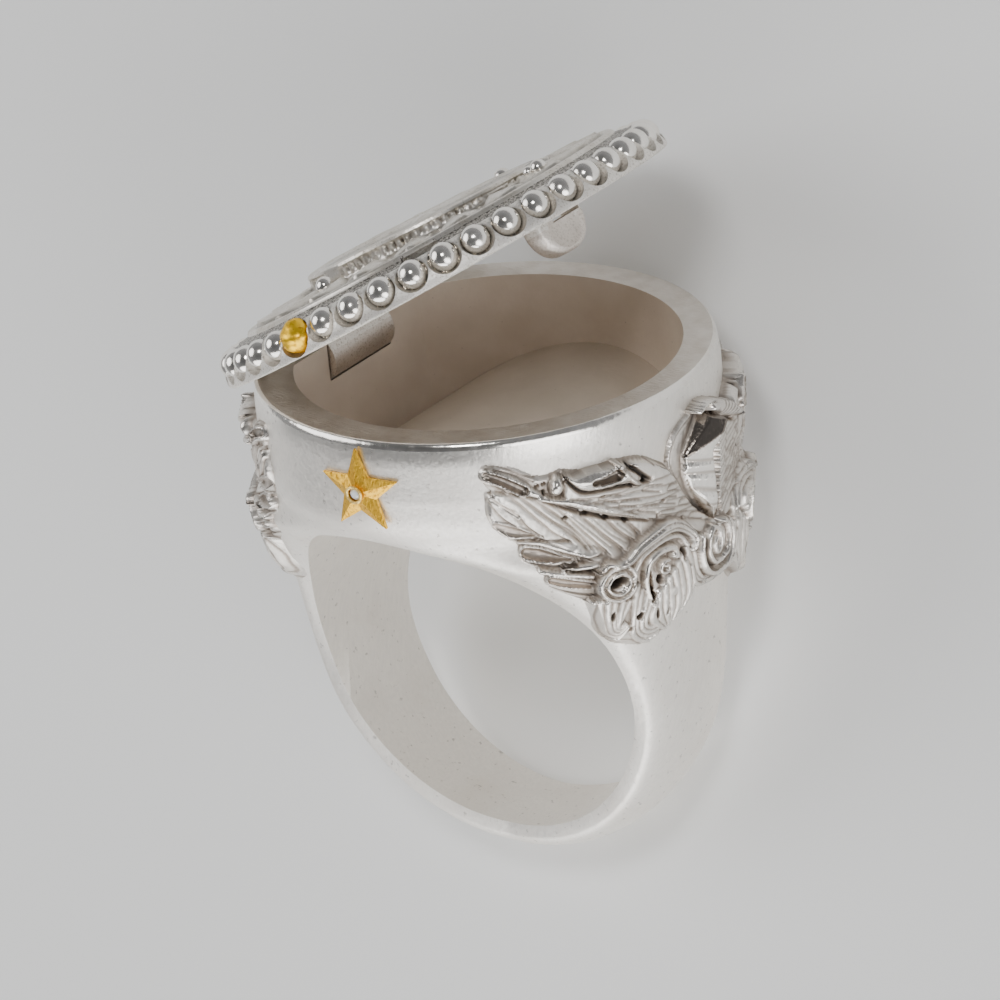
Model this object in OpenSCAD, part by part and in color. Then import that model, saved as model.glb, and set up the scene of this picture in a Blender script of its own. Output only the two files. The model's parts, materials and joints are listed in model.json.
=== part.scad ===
// Silver locket ring: a round cup with winged shoulders on a tapered shank, closed by a
// beaded lid on an inside hinge. Millimetres. Every piece is drawn on the upright ring
// (X across the shoulders, Z up the cup, front towards -Y, rim plane at Z = 0) and the
// whole ring is then laid on its back, star side up, the way it comes to rest.

/* [Finger hole] */
// Diameter of the finger hole
finger_d = 18.2; // [15:0.1:22]
// Depth of the finger hole's axis below the rim
finger_drop = 14.76; // [14:0.01:18]

/* [Cup] */
// Outer diameter of the cup's wall
cup_d = 22.2; // [20:0.1:26]
// Width of the polished bevel round the rim
rim_bevel = 0.3; // [0.1:0.05:0.6]
// Height of that bevel
rim_bevel_h = 0.35; // [0.1:0.05:0.6]
// Diameter of the cup's inside
cavity_d = 18.56; // [16:0.01:20]
// How far the inside lies off centre, away from the hinge
cavity_shift = 0.2; // [0:0.05:0.5]
// Metal between the finger hole and the arched floor of the cup
floor_t = 2.25; // [1.5:0.05:3]
// Distance of the flat hinge wall inside the cup from the cup's axis
land_x = 7.6; // [6.5:0.1:8]

/* [Shank] */
// Thickness of the shank's thin edges
edge_t = 0.6; // [0.4:0.05:1]
// Half width, and thickness at the middle, at angles from the bottom of the shank. The last
// row lies past the shank's end and only gives the slope there
shank_form = [
    // angle, half width, thickness
    [0, 2.32, 1.65],
    [30, 2.6, 1.62],
    [60, 2.96, 1.5],
    [90, 3.5, 1.45],
    [110, 5.1, 1.45]
];
// Half width of the ring's front to back outline at heights below the rim. The last row lies
// past the shoulders' end and only gives the slope there
side_form = [
    // height, half width
    [-3, 11.1],
    [-4.6, 10.85],
    [-5.7, 10.1],
    [-7, 8.3],
    [-8.5, 6.75],
    [-10.2, 5.4],
    [-12, 4.4],
    [-14.76, 3.5],
    [-17, 3.2]
];

/* [Lid] */
// Angle at which the lid stands open
lid_open = 29.5; // [0:0.5:29.5]
// Diameter of the lid
lid_d = 23.7; // [22:0.1:26]
// Gap between the closed lid and the rim
lid_gap = 0.08; // [0.05:0.01:0.3]
// Diameter of the medallion on the lid
medallion_d = 12.6; // [8:0.1:14]
// Number of beads round the lid, the gold one included
bead_count = 42; // [30:1:42]
// Diameter of a silver bead
bead_d = 1.4; // [1:0.05:1.5]
// Diameter of the gold bead
gold_bead_d = 1.6; // [1.2:0.05:1.7]
// Diameter of the circle that the bead centres lie on
bead_circle_d = 22.24; // [20:0.02:24]

/* [Hinge] */
// Distance of the hinge pin from the cup's axis
pin_x = 8.35; // [8.2:0.05:8.5]
// Depth of the hinge pin below the rim
pin_drop = 0.9; // [0.9:0.05:1.1]
// Diameter of the hinge pin
pin_d = 0.7; // [0.5:0.05:0.8]
// Diameter of the lid's knuckle
knuckle_d = 2.3; // [1.8:0.1:2.4]
// Length of the knuckle along the pin
knuckle_l = 4.7; // [3:0.1:5]

/* [Star] */
// Distance from the star's middle to its tips
star_r = 2.17; // [1:0.01:3]
// Distance from the star's middle to its inner corners
star_inner_r = 0.95; // [0.5:0.01:1.5]
// Height of the star's middle over the wall
star_h = 0.5; // [0.3:0.05:1]
// Diameter of the small diamond
diamond_d = 0.6; // [0.4:0.05:0.8]

/* [Rest] */
// Turn about the cup's axis that rolls the ring on to one shoulder
rest_roll = 0; // [-40:0.01:40]
// Tip that lifts the shank or the lid off the floor
rest_lean = 23.1; // [-40:0.01:40]
// Shift that puts the middle of the base at the origin
rest_shift = [0, 5.982, 11.778];

/* [Hidden] */
$fn = 96;

finger_r = finger_d / 2;
cup_r = cup_d / 2;
rim_r = cup_r - rim_bevel;
cavity_r = cavity_d / 2;
lid_r = lid_d / 2;
bead_r = bead_circle_d / 2;
knuckle_r = knuckle_d / 2;
pin_r = pin_d / 2;

// Running clearance of the knuckle on its pin, and the gap of pieces that don't move
run_gap = 0.05;
seat_gap = 0.03;
// Clearance round the knuckle in its pocket
pocket_gap = 0.07;

function limit(t) = min(max(t, 0), 1);
function mix(a, b, t) = a + (b - a) * t;
function ramp(t) = limit(t) * limit(t) * (3 - 2 * limit(t));
function between(a, b, n) = [for (i = [1 : n - 1]) mix(a, b, i / n)];

// Smooth curve through a table's rows: column c against the first column
function row_slope(t, i, c) =
    let (a = max(i - 1, 0), b = min(i + 1, len(t) - 1))
    (t[b][c] - t[a][c]) / (t[b][0] - t[a][0]);
function hermite(p, q, m, n, s) =
    p * (1 + 2 * s) * (1 - s) * (1 - s) + m * s * (1 - s) * (1 - s)
    + q * s * s * (3 - 2 * s) - n * s * s * (1 - s);
function past(t, x, i) =
    i < len(t) - 2 && (t[i + 1][0] - x) * (t[1][0] - t[0][0]) < 0 ? past(t, x, i + 1) : i;
function curve(t, x, c) =
    let (i = past(t, x, 0), d = t[i + 1][0] - t[i][0], s = limit((x - t[i][0]) / d))
    hermite(t[i][c], t[i + 1][c], row_slope(t, i, c) * d, row_slope(t, i + 1, c) * d, s);

// Outline of the outer skin at a height: half width, where its flat front ends, and its reach
edge_r = finger_r + edge_t;
function depth(z) = z + finger_drop;
function skin_width(z) = z > side_form[0][0] ? cup_r : curve(side_form, z, 1);
function skin_flat(z) = abs(depth(z)) < edge_r ? sqrt(edge_r * edge_r - depth(z) * depth(z)) : 0;
side_reach = finger_r + shank_form[3][2];
function skin_reach(z) = mix(cup_r, side_reach, ramp((-z - 7) / (finger_drop - 7)));

// Distance of the plain skin from the cup's axis, at an angle from the front and a height
function skin_r(angle, z) =
    let (
        s = abs(sin(angle)), c = abs(cos(angle)), flat = skin_flat(z),
        a = skin_reach(z) - flat,
        b = skin_width(z),
        qa = s * s / (a * a) + c * c / (b * b),
        qb = -2 * flat * s / (a * a),
        qc = flat * flat / (a * a) - 1,
        r = (-qb + sqrt(max(qb * qb - 4 * qa * qc, 0))) / (2 * qa)
    )
    r * s < flat ? b / max(c, 0.001) : r;

// Winged shoulder ornament. Each row is a raised stroke on the unrolled wall, from a first
// point over a middle point to an end: place round the cup in degrees from the ornament's
// middle line, height, half width and rise of each point
wing_middle = 94;
degree_mm = 0.2025;
wing = [
    // a0, z0, w0, h0, a1, z1, w1, h1, a2, z2, w2, h2
    // broad body of the wing, and the scrollwork below it
    [55, -3.1, 0.9, 0.35, 38, -4.6, 1.7, 0.5, 14, -4.6, 1.6, 0.6],
    [40, -7.2, 0.9, 0.3, 26, -7.6, 1.5, 0.5, 8, -8.2, 1.3, 0.6],
    [33, -9, 0.8, 0.3, 24, -9.6, 1.5, 0.45, 18, -10.2, 1.2, 0.3],
    // leading edge and the raised upper plume
    [59.5, -1.5, 0.35, 0.5, 50, -2.4, 0.5, 0.7, 42, -3.2, 0.5, 0.6],
    [45, -3, 0.45, 0.5, 34, -4.1, 0.5, 0.75, 22, -5, 0.4, 0.6],
    [41, -2.3, 0.35, 0.7, 34, -2.9, 0.5, 0.95, 21, -3.2, 0.5, 0.8],
    // long feathers, side by side
    [58, -2.7, 0.4, 0.4, 50, -4, 0.45, 0.62, 43, -5.4, 0.35, 0.5],
    [57, -4.1, 0.4, 0.4, 50, -4.9, 0.4, 0.6, 42, -5.6, 0.3, 0.5],
    [53, -3, 0.35, 0.5, 44, -4.6, 0.45, 0.66, 35, -6.1, 0.35, 0.5],
    [46, -3.4, 0.35, 0.5, 38, -4.9, 0.45, 0.7, 30, -6.2, 0.35, 0.5],
    // lower feathers
    [52, -5.7, 0.4, 0.4, 44, -6.1, 0.5, 0.6, 35, -6.5, 0.4, 0.5],
    [47, -7.2, 0.3, 0.35, 42, -7.6, 0.4, 0.55, 37, -8, 0.35, 0.4],
    // small feathers beside the blade
    [24, -3.6, 0.3, 0.6, 17, -4, 0.4, 0.8, 11, -4.8, 0.35, 0.8],
    [24, -4.6, 0.3, 0.6, 17, -5, 0.4, 0.8, 9, -5.8, 0.35, 0.8],
    // scroll from the middle volute out to the wing's root
    [8, -7, 0.35, 0.8, 15, -6.1, 0.4, 0.95, 21, -6.3, 0.4, 0.95],
    [21, -6.3, 0.4, 0.95, 27, -6.8, 0.45, 0.95, 32, -7.8, 0.4, 0.85],
    [32, -7.8, 0.4, 0.85, 31, -8.9, 0.35, 0.75, 27, -8.6, 0.3, 0.65],
    // pendant under the scroll
    [24, -9.2, 0.35, 0.6, 23.5, -7.8, 0.4, 0.85, 19, -7.1, 0.4, 0.9],
    [19, -7.1, 0.4, 0.9, 15, -7.6, 0.4, 0.85, 17, -9, 0.4, 0.7],
    [17, -9, 0.5, 0.7, 18, -10.3, 0.6, 0.6, 21, -11.4, 0.4, 0.35],
    [34, -9.6, 0.3, 0.35, 31, -10.6, 0.4, 0.45, 27, -11.2, 0.35, 0.3],
    // half of the middle volute
    [0, -7.1, 0.35, 0.9, 5, -7.4, 0.4, 1, 6.2, -8.4, 0.4, 1],
    [6.2, -8.4, 0.4, 1, 5, -9.4, 0.4, 0.95, 0, -9.7, 0.4, 0.9],
    // collar beside the blade
    [0, -1.7, 0.4, 0.5, 9, -2.1, 0.5, 0.6, 10, -3.4, 0.5, 0.7],
    // blade down the middle
    [0, -2.3, 0.75, 1, 0, -4, 0.85, 1.3, 0, -6.6, 0.35, 0.95]
];
// Crest from the rim down to the blade, on the side away from the front
crest = [
    [22, -0.45, 0.7, 0.25, 14, -1.5, 0.8, 0.7, 3, -2.3, 0.8, 1]
];

function stroke_part(x, z, ax, az, aw, ah, bx, bz, bw, bh) =
    let (
        dx = bx - ax, dz = bz - az,
        t = limit(((x - ax) * dx + (z - az) * dz) / (dx * dx + dz * dz)),
        d = norm([x - ax - dx * t, z - az - dz * t]) / mix(aw, bw, t)
    )
    d < 1 ? mix(ah, bh, t) * (1 - d * d) : 0;
function stroke(x, z, s) = max(
    stroke_part(x, z, s[0] * degree_mm, s[1], s[2], s[3], s[4] * degree_mm, s[5], s[6], s[7]),
    stroke_part(x, z, s[4] * degree_mm, s[5], s[6], s[7], s[8] * degree_mm, s[9], s[10], s[11])
);
function relief(angle, z) =
    let (from_middle = abs(angle) - wing_middle, x = abs(from_middle) * degree_mm)
    max(concat(
        [for (s = wing) stroke(x, z, s)],
        from_middle > 0 ? [for (s = crest) stroke(x, z, s)] : [0]
    ));

// Solid made of sections in a row, each a ring of the same number of points. The cap that
// closes its first section is given as faces, and the last section's is the same reversed
module stacked(rows, cap) {
    n = len(rows[0]);
    m = len(rows);
    polyhedron(
        points = [for (row = rows) each row],
        faces = concat(
            cap,
            [for (k = [0 : m - 2], i = [0 : n - 1]) [k * n + i, (k + 1) * n + i, (k + 1) * n + (i + 1) % n]],
            [for (k = [0 : m - 2], i = [0 : n - 1]) [k * n + i, (k + 1) * n + (i + 1) % n, k * n + (i + 1) % n]],
            [for (f = cap) [for (i = [len(f) - 1 : -1 : 0]) (m - 1) * n + f[i]]]
        )
    );
}

// Plain body of the cup. Its sides below the cup are only a core, covered by the shoulders
core_top = -7;
core_inset = 0.15;
core_bottom = -finger_drop - 0.6;
core_steps = 10;
module cup() {
    heights = concat(
        between(side_form[0][0], core_top, 8),
        [core_top],
        between(core_top, core_bottom, core_steps),
        [core_bottom]
    );
    half = concat(
        [[cup_r + 1, 1], [cup_r + 1, side_form[0][0]]],
        [for (z = heights) [skin_width(z) * (z < core_top ? 1 - core_inset : 1), z]]
    );
    reach = concat(
        [[cup_r + 1, 1], [cup_r + 1, core_top]],
        [for (z = between(core_top, core_bottom, core_steps)) [skin_reach(z) - 0.5, z]],
        [[side_reach - 0.5, core_bottom]]
    );
    intersection() {
        rotate_extrude() polygon([
            [0, core_bottom], [cup_r, core_bottom], [cup_r, -rim_bevel_h], [rim_r, 0], [0, 0]
        ]);
        rotate([90, 0, 90]) linear_extrude(2 * cup_d, center = true) mirrored_outline(half);
        rotate([90, 0, 0]) linear_extrude(2 * cup_d, center = true) mirrored_outline(reach);
    }
}
module mirrored_outline(half) {
    polygon(concat(half, [for (i = [len(half) - 1 : -1 : 0]) [-half[i][0], half[i][1]]]));
}

// Shoulder with its raised ornament: sections from the front of the ring round to its back
ornament_half = 64;
column_count = 58;
row_count = 28;
shoulder_top = -0.62;
shoulder_bottom = -14.2;
shoulder_t = 1.2;
row_group = 4;
inner_rows = row_count / row_group;
ground_rise = 0.05;
ground_sink = 0.12;
function row_height(t) = mix(shoulder_top, shoulder_bottom, 0.86 * t + 0.14 * t * t);
function shoulder_r(angle, z) =
    let (
        edge = abs(abs(angle) - wing_middle) > ornament_half - 0.5 || z > shoulder_top - 0.01,
        low = z < core_top ? 0 : -ground_sink
    )
    skin_r(angle, z) + (z < shoulder_bottom + 0.01 ? -overlap : edge ? low : relief(angle, z) + ground_rise);
module shoulder() {
    stacked([
        for (k = [0 : column_count])
            let (a = mix(wing_middle - ornament_half, wing_middle + ornament_half, k / column_count))
            concat(
                [for (i = [0 : row_count])
                    let (z = row_height(i / row_count), r = shoulder_r(a, z))
                    [r * sin(a), -r * cos(a), z]],
                [for (i = [inner_rows : -1 : 0])
                    let (z = row_height(i / inner_rows), r = skin_r(a, z) - shoulder_t)
                    [r * sin(a), -r * cos(a), z]]
            )
    ], [
        for (j = [0 : inner_rows - 1])
            let (last = row_count + inner_rows + 1)
            concat([last - j], [for (i = [0 : row_group]) j * row_group + i], [last - j - 1])
    ]);
}

// Lower part of the shank: D sections round the finger hole
shank_steps = 40;
shank_reach = 97;
crown_steps = 10;
overlap = 0.02;
module shank() {
    stacked([
        for (k = [0 : shank_steps])
            let (
                a = mix(shank_reach, -shank_reach, k / shank_steps),
                b = min(abs(a), 90),
                w = curve(shank_form, b, 1),
                t = curve(shank_form, b, 2)
            )
            concat(
                [for (i = [0 : crown_steps])
                    let (v = cos(180 * i / crown_steps), r = edge_r + (t - edge_t) * sqrt(1 - v * v))
                    [r * sin(a), v * w, -finger_drop - r * cos(a)]],
                [for (v = [-1, 1])
                    let (r = finger_r - edge_t)
                    [r * sin(a), v * w, -finger_drop - r * cos(a)]]
            )
    ], [[for (i = [0 : crown_steps + 2]) i]]);
}

// Round bar along Y
module bar(r, half) {
    rotate([90, 0, 0]) cylinder(r = r, h = 2 * half, center = true);
}

module cavity() {
    difference() {
        intersection() {
            translate([cavity_shift, 0, -9.5]) cylinder(r = cavity_r, h = 12);
            translate([-land_x, -cup_r, -9.5]) cube([2 * cup_r, 2 * cup_r, 12]);
        }
        translate([0, 0, -finger_drop]) bar(finger_r + floor_t, cup_r);
    }
}

// Slope of the rim behind the hinge, which the open lid stands against
slope_start = 8.69;
module open_stop() {
    translate([-slope_start, -cup_r, 0])
        rotate([0, -29.5, 0]) translate([-6, 0, 0]) cube([6, 2 * cup_r, 4]);
}

module knuckle_pocket() {
    half = knuckle_l / 2 + pocket_gap;
    back = 1.27;
    translate([-pin_x, 0, -pin_drop]) {
        bar(knuckle_r + pocket_gap, half);
        translate([-back, -half, 0]) cube([back + knuckle_r, 2 * half, 3]);
        bar(pin_r + seat_gap, pin_half + seat_gap);
    }
}

module ring_body() {
    color("gainsboro")
    difference() {
        union() {
            cup();
            shank();
            shoulder();
            mirror([1, 0, 0]) shoulder();
        }
        translate([0, 0, -finger_drop]) bar(finger_r, 2 * cup_r);
        cavity();
        open_stop();
        knuckle_pocket();
    }
}

pin_half = 4.5;
module hinge_pin() {
    color("silver") translate([-pin_x, 0, -pin_drop]) bar(pin_r, pin_half);
}

// Star on the front of the cup
star_turn = 2.8;
star_z = -2.54;
star_tip_h = 0.2;
star_valley_h = 0.16;
bezel_r = 0.42;
bezel_h = 0.24;
function on_wall(x, h) = -sqrt((cup_r + h) * (cup_r + h) - x * x);
module star() {
    outline = [
        for (i = [0 : 9])
            let (r = i % 2 == 0 ? star_r : star_inner_r, a = 90 + 36 * i)
            [r * cos(a), r * sin(a), i % 2 == 0 ? star_tip_h : star_valley_h]
    ];
    front = [for (p = outline) [p[0], on_wall(p[0], p[2]), star_z + p[1]]];
    back = [for (p = outline) [p[0], -cup_r + 1, star_z + p[1]]];
    top = -cup_r - star_h;
    color("gold") rotate([0, 0, star_turn]) difference() {
        union() {
            polyhedron(
                points = concat(front, back, [[0, top, star_z], [0, -cup_r + 1, star_z]]),
                faces = concat(
                    [for (i = [0 : 9]) [20, (i + 1) % 10, i]],
                    [for (i = [0 : 9]) [i, (i + 1) % 10, (i + 1) % 10 + 10, i + 10]],
                    [for (i = [0 : 9]) [21, i + 10, (i + 1) % 10 + 10]]
                )
            );
            translate([0, top - bezel_h + 0.14, star_z]) rotate([-90, 0, 0]) cylinder(r = bezel_r, h = 0.4);
        }
        translate([0, top - bezel_h, star_z]) rotate([-90, 0, 0]) cylinder(r = diamond_d / 2 + seat_gap, h = 0.42);
        translate([0, 0, -cup_r]) cylinder(r = cup_r + seat_gap, h = cup_d, $fn = 720);
    }
}

// Brilliant: table, eight crown and eight pavilion facets
module diamond() {
    r = diamond_d / 2;
    girdle = -cup_r - star_h + 0.02;
    rings = [[0.55 * r, -0.1], [r, -0.01], [r, 0.02], [0.08 * r, 0.24]];
    n = 8;
    color("white") rotate([0, 0, star_turn]) polyhedron(
        points = [for (k = rings, i = [0 : n - 1]) [k[0] * cos(45 * i), girdle + k[1], star_z + k[0] * sin(45 * i)]],
        faces = concat(
            [[for (i = [n - 1 : -1 : 0]) i]],
            [for (k = [0 : 2], i = [0 : n - 1]) [k * n + i, k * n + (i + 1) % n, (k + 1) * n + (i + 1) % n, (k + 1) * n + i]],
            [[for (i = [0 : n - 1]) 3 * n + i]]
        )
    );
}

// Turns the closed lid open about its pin
module opened() {
    translate([-pin_x, 0, -pin_drop]) rotate([0, -lid_open, 0]) translate([pin_x, 0, pin_drop]) children();
}

lid_profile = [
    [0, 1.95], [5.5, 1.85], [6.1, 1.4], [8.85, 1.3], [9.7, 0.55], [9.95, lid_gap],
    [lid_r, lid_gap], [lid_r, 0.3], [10.75, 0.42], [10.5, 0.62], [9.85, 1.85],
    [9.85, 1.97], [9.72, 2.04], [9.55, 2.04], [9.45, 1.95], [medallion_d / 2, 2.08],
    [medallion_d / 2, 2.5], [medallion_d / 2 - 0.28, 2.76], [0, 2.86]
];
bead_z = 1.02;
bead_phase = 0.6;
// Openings in the gallery under the medallion, on the front and back
window_angle = 38.5;
window_w = 1.9;
// Low petals round the medallion
petal_count = 20;
petal_r = 8;
// Small balls between them: angle, distance from the middle and radius
balls = [
    [-7, 7.3, 0.4], [90, 7.43, 0.25], [90, 8.1, 0.3],
    [187, 7.3, 0.4], [270, 7.43, 0.25], [270, 8.1, 0.3]
];

module at(angle, r) {
    rotate([0, 0, angle - 90]) translate([r, 0, 0]) children();
}
function bead_angle(k) = bead_phase + 360 / bead_count * k;

catch_half = 2.1;
catch_drop = 1.9;
catch_t = 1.25;
catch_x = 6.75;
module catch_tongue() {
    corner = 1.25;
    translate([catch_x, 0, 0]) rotate([90, 0, 90]) linear_extrude(catch_t) {
        translate([-catch_half, corner - catch_drop]) square([2 * catch_half, catch_drop - corner + 1.45]);
        translate([corner - catch_half, -catch_drop]) square([2 * (catch_half - corner), catch_drop]);
        for (s = [-1, 1]) translate([s * (catch_half - corner), corner - catch_drop]) circle(corner);
    }
}

module lid() {
    web_back = 0.85;
    color("silver") opened() difference() {
        union() {
            rotate_extrude() polygon(lid_profile);
            for (k = [1 : bead_count - 1]) at(bead_angle(k), bead_r) translate([0, 0, bead_z]) sphere(d = bead_d, $fn = 24);
            intersection() {
                for (k = [0 : petal_count - 1]) at(9 + 18 * k, petal_r) translate([0, 0, 0.4]) sphere(r = 1.85, $fn = 32);
                translate([0, 0, 1.7]) cylinder(r = 9.4, h = 2);
            }
            for (b = balls) at(b[0], b[1]) translate([0, 0, 2.2]) sphere(r = b[2], $fn = 24);
            translate([-pin_x, 0, -pin_drop]) {
                bar(knuckle_r, knuckle_l / 2);
                translate([-web_back, -knuckle_l / 2, 0]) cube([web_back + knuckle_r, knuckle_l, pin_drop + 1.3]);
            }
            catch_tongue();
        }
        translate([-pin_x, 0, -pin_drop]) bar(pin_r + run_gap, knuckle_l);
        for (s = [0, 1]) mirror([0, s, 0]) at(window_angle, 10.2)
            translate([-1.6, -window_w / 2, 1.3]) cube([1.75, window_w, 0.42]);
        translate([catch_x - 1, -1.35, -0.3]) cube([4, 2, 0.3]);
        at(bead_angle(0), bead_r) translate([0, 0, bead_z]) sphere(d = gold_bead_d + 2 * seat_gap, $fn = 32);
    }
}

// Gold bead with a scooped, nugget-like top
module gold_bead() {
    color("gold") opened() at(bead_angle(0), bead_r) translate([0, 0, bead_z]) difference() {
        sphere(d = gold_bead_d, $fn = 32);
        translate([0.75, 0.45, 0.75]) sphere(r = 0.62, $fn = 32);
    }
}

// Lays the upright ring on its back
module laid() {
    translate(rest_shift) rotate([rest_lean, 0, 0]) rotate([0, rest_roll, 0]) rotate([-90, 0, 0]) children();
}

laid() ring_body();
laid() star();
laid() diamond();
laid() hinge_pin();
laid() lid();
laid() gold_bead();
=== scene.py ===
"""Silver locket ring lying on its back, dressed for the render.

Shapes are worked out in millimetres on the upright ring: X across the shoulders, Z up the
cup, front towards -Y, rim plane at Z = 0. The ring is then laid into the row frame.
"""
import json
import math

import bpy
import numpy as np
from mathutils import Matrix, Vector


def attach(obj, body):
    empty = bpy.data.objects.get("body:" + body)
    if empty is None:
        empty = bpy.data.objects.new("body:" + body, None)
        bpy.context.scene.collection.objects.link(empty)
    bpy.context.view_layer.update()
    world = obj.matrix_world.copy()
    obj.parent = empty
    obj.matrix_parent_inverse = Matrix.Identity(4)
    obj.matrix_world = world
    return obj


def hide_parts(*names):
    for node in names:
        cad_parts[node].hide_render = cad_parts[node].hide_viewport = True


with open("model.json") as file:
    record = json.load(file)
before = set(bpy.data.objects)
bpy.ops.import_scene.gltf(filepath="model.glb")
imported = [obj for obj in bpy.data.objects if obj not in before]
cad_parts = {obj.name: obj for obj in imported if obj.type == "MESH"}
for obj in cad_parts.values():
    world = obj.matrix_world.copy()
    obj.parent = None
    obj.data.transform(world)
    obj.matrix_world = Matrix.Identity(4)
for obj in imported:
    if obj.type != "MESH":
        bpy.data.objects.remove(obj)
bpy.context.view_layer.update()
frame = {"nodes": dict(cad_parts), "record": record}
JOINT = frame["record"]["behaviour"]["joints"][0]

# Driving dimensions, as in the part
FINGER_R = 9.1
FINGER_DROP = 14.76
CUP_R = 11.1
RIM_BEVEL = 0.3
RIM_BEVEL_H = 0.35
RIM_EASE = 0.07
CAVITY_R = 9.28
CAVITY_SHIFT = 0.2
FLOOR_T = 2.25
LAND_X = 7.6
EDGE_T = 0.6
EDGE_R = FINGER_R + EDGE_T
SIDE_REACH = FINGER_R + 1.45
PIN_X = 8.35
PIN_DROP = 0.9
PIN = (-PIN_X, 0, -PIN_DROP)
KNUCKLE_R = 1.15
KNUCKLE_HALF = 2.35
KNUCKLE_ROOM = 0.07
LID_OPEN = math.radians(29.5)
OPEN_STOP_X = 8.69
LID_R = 11.85
LID_GAP = 0.08
MEDALLION_R = 6.1
MEDALLION_CANT = 0.045
WALL_FOOT_Z = 2.12
PETALS = 20
PETALS_FROM, PETALS_TO = 6.7, 9.35
BEADS = 42
BEAD_R = 0.7
BEAD_CIRCLE_R = 11.12
BEAD_Z = 1.02
BEAD_PHASE = 0.6
# Hollow round each bead, in the lid's edge
SOCKET_R = 0.86
SOCKET_CIRCLE_R = 11.66
SOCKET_Z = 1.1
# The gold bead is this much larger, and its hollow too
NUGGET_EXTRA = 0.12
# Catch tongue: its place, thickness and the radius of its hollow face
CATCH_X = 6.75
CATCH_T = 1.25
DISH_R = 3
# Middle of the star, and its turn round the cup in degrees
STAR_Z = -2.54
STAR_TURN = 2.8
# Turn of the front window round the lid in degrees; the back one mirrors it
WINDOW_AT = 38.5
# Small balls on the lid: degrees from the front, distance from the middle, radius
SMALL_BALLS = (
    (-5.4, 7.3, 0.45), (90, 7.43, 0.3), (90, 8.1, 0.4), (187, 7.3, 0.45), (270, 7.43, 0.3), (270, 8.1, 0.4),
)
BALL_Z = 2.3

# Half width of the outline from the side, at heights below the rim; the last row only steers the slope
SIDE_FORM = np.array([
    (-3, 11.1), (-4.6, 10.85), (-5.7, 10.1), (-7, 8.3),
    (-8.5, 6.75), (-10.2, 5.4), (-12, 4.4), (-14.76, 3.5), (-17, 3.2),
])
# Angle from the bottom of the shank, half width and thickness; the last row only steers the slope
SHANK_FORM = np.array([
    (0, 2.32, 1.65), (30, 2.6, 1.62), (60, 2.96, 1.5), (90, 3.5, 1.45), (110, 5.1, 1.45),
])

# Middle line of the shoulder ornament, and the wall's length for one degree round it
WING_MIDDLE = 94
DEGREE_MM = 0.2025
# Height of the wing's tip, as a share of the height near the middle
TIP_HEIGHT = 0.62


def upright_to_row():
    """Matrix from the upright ring in millimetres to the row frame in metres."""
    front = Vector(JOINT["axis"]).normalized()
    across = Vector((1, 0, 0))
    up = across.cross(-front)
    turn = Matrix((across, -front, up)).transposed() * 0.001
    return Matrix.Translation(Vector(JOINT["pos_m"]) - turn @ Vector(PIN)) @ turn.to_4x4()


LAY = upright_to_row()
LAY_NP = np.array(LAY)


def rotated(points, angle, i, j, about=(0, 0, 0)):
    """Points turned from one axis towards another, about a point."""
    p = np.array(points, float)
    c, s = math.cos(angle), math.sin(angle)
    u, v = p[:, i] - about[i], p[:, j] - about[j]
    p[:, i], p[:, j] = about[i] + u * c - v * s, about[j] + u * s + v * c
    return p


def opened(points, angle=LID_OPEN):
    """Points of the closed lid turned open about its pin."""
    return rotated(points, angle, 0, 2, PIN)


def limit(t):
    return np.clip(t, 0, 1)


def ramp(t):
    """Smooth step from 0 to 1."""
    t = limit(t)
    return t * t * (3 - 2 * t)


def mix(a, b, t):
    return a + (b - a) * t


def curve(table, x, column=1):
    """Smooth curve through a table's rows: a column against the first one."""
    t = table if table[0, 0] < table[-1, 0] else table[::-1]
    xs, ys = t[:, 0], t[:, column]
    slopes = np.gradient(ys, xs)
    slopes[1:-1] = (ys[2:] - ys[:-2]) / (xs[2:] - xs[:-2])
    i = np.clip(np.searchsorted(xs, x) - 1, 0, len(xs) - 2)
    d = xs[i + 1] - xs[i]
    s = limit((x - xs[i]) / d)
    return (
        ys[i] * (1 + 2 * s) * (1 - s) ** 2 + slopes[i] * d * s * (1 - s) ** 2
        + ys[i + 1] * s * s * (3 - 2 * s) - slopes[i + 1] * d * s * s * (1 - s)
    )


def skin_reach(z):
    """Reach of the plain skin over the shoulders at a height."""
    return mix(CUP_R, SIDE_REACH, ramp((-z - 7) / (FINGER_DROP - 7)))


def skin_r(angle, z):
    """Distance of the plain skin from the cup's axis, at degrees from the front and a height."""
    s, c = np.abs(np.sin(np.radians(angle))), np.abs(np.cos(np.radians(angle)))
    width = np.where(z > SIDE_FORM[0, 0], CUP_R, curve(SIDE_FORM, z))
    depth = z + FINGER_DROP
    flat = np.sqrt(np.maximum(EDGE_R ** 2 - depth ** 2, 0)) * ramp((-z - 4.9) / 2.2)
    a = skin_reach(z) - flat
    qa = s * s / a ** 2 + c * c / width ** 2
    qb = -2 * flat * s / a ** 2
    qc = flat ** 2 / a ** 2 - 1
    r = (-qb + np.sqrt(np.maximum(qb * qb - 4 * qa * qc, 0))) / (2 * qa)
    return np.where(r * s < flat, width / np.maximum(c, 0.001), r)


# Relief of a shoulder's unrolled wall. A place is degrees from the front and depth below the rim


def bent(places, steps=6):
    """Smooth line in millimetres through places."""
    p = np.array(places, float) * (DEGREE_MM, -1)
    if len(p) < 3:
        return p
    padded = np.vstack([2 * p[0] - p[1], p, 2 * p[-1] - p[-2]])
    out = []
    for a, b, c, d in zip(padded, padded[1:], padded[2:], padded[3:]):
        for t in np.arange(steps) / steps:
            out.append(0.5 * (2 * b + (c - a) * t + (2 * a - 5 * b + 4 * c - d) * t ** 2
                              + (3 * b - a - 3 * c + d) * t ** 3))
    return np.array([*out, p[-1]])


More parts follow.
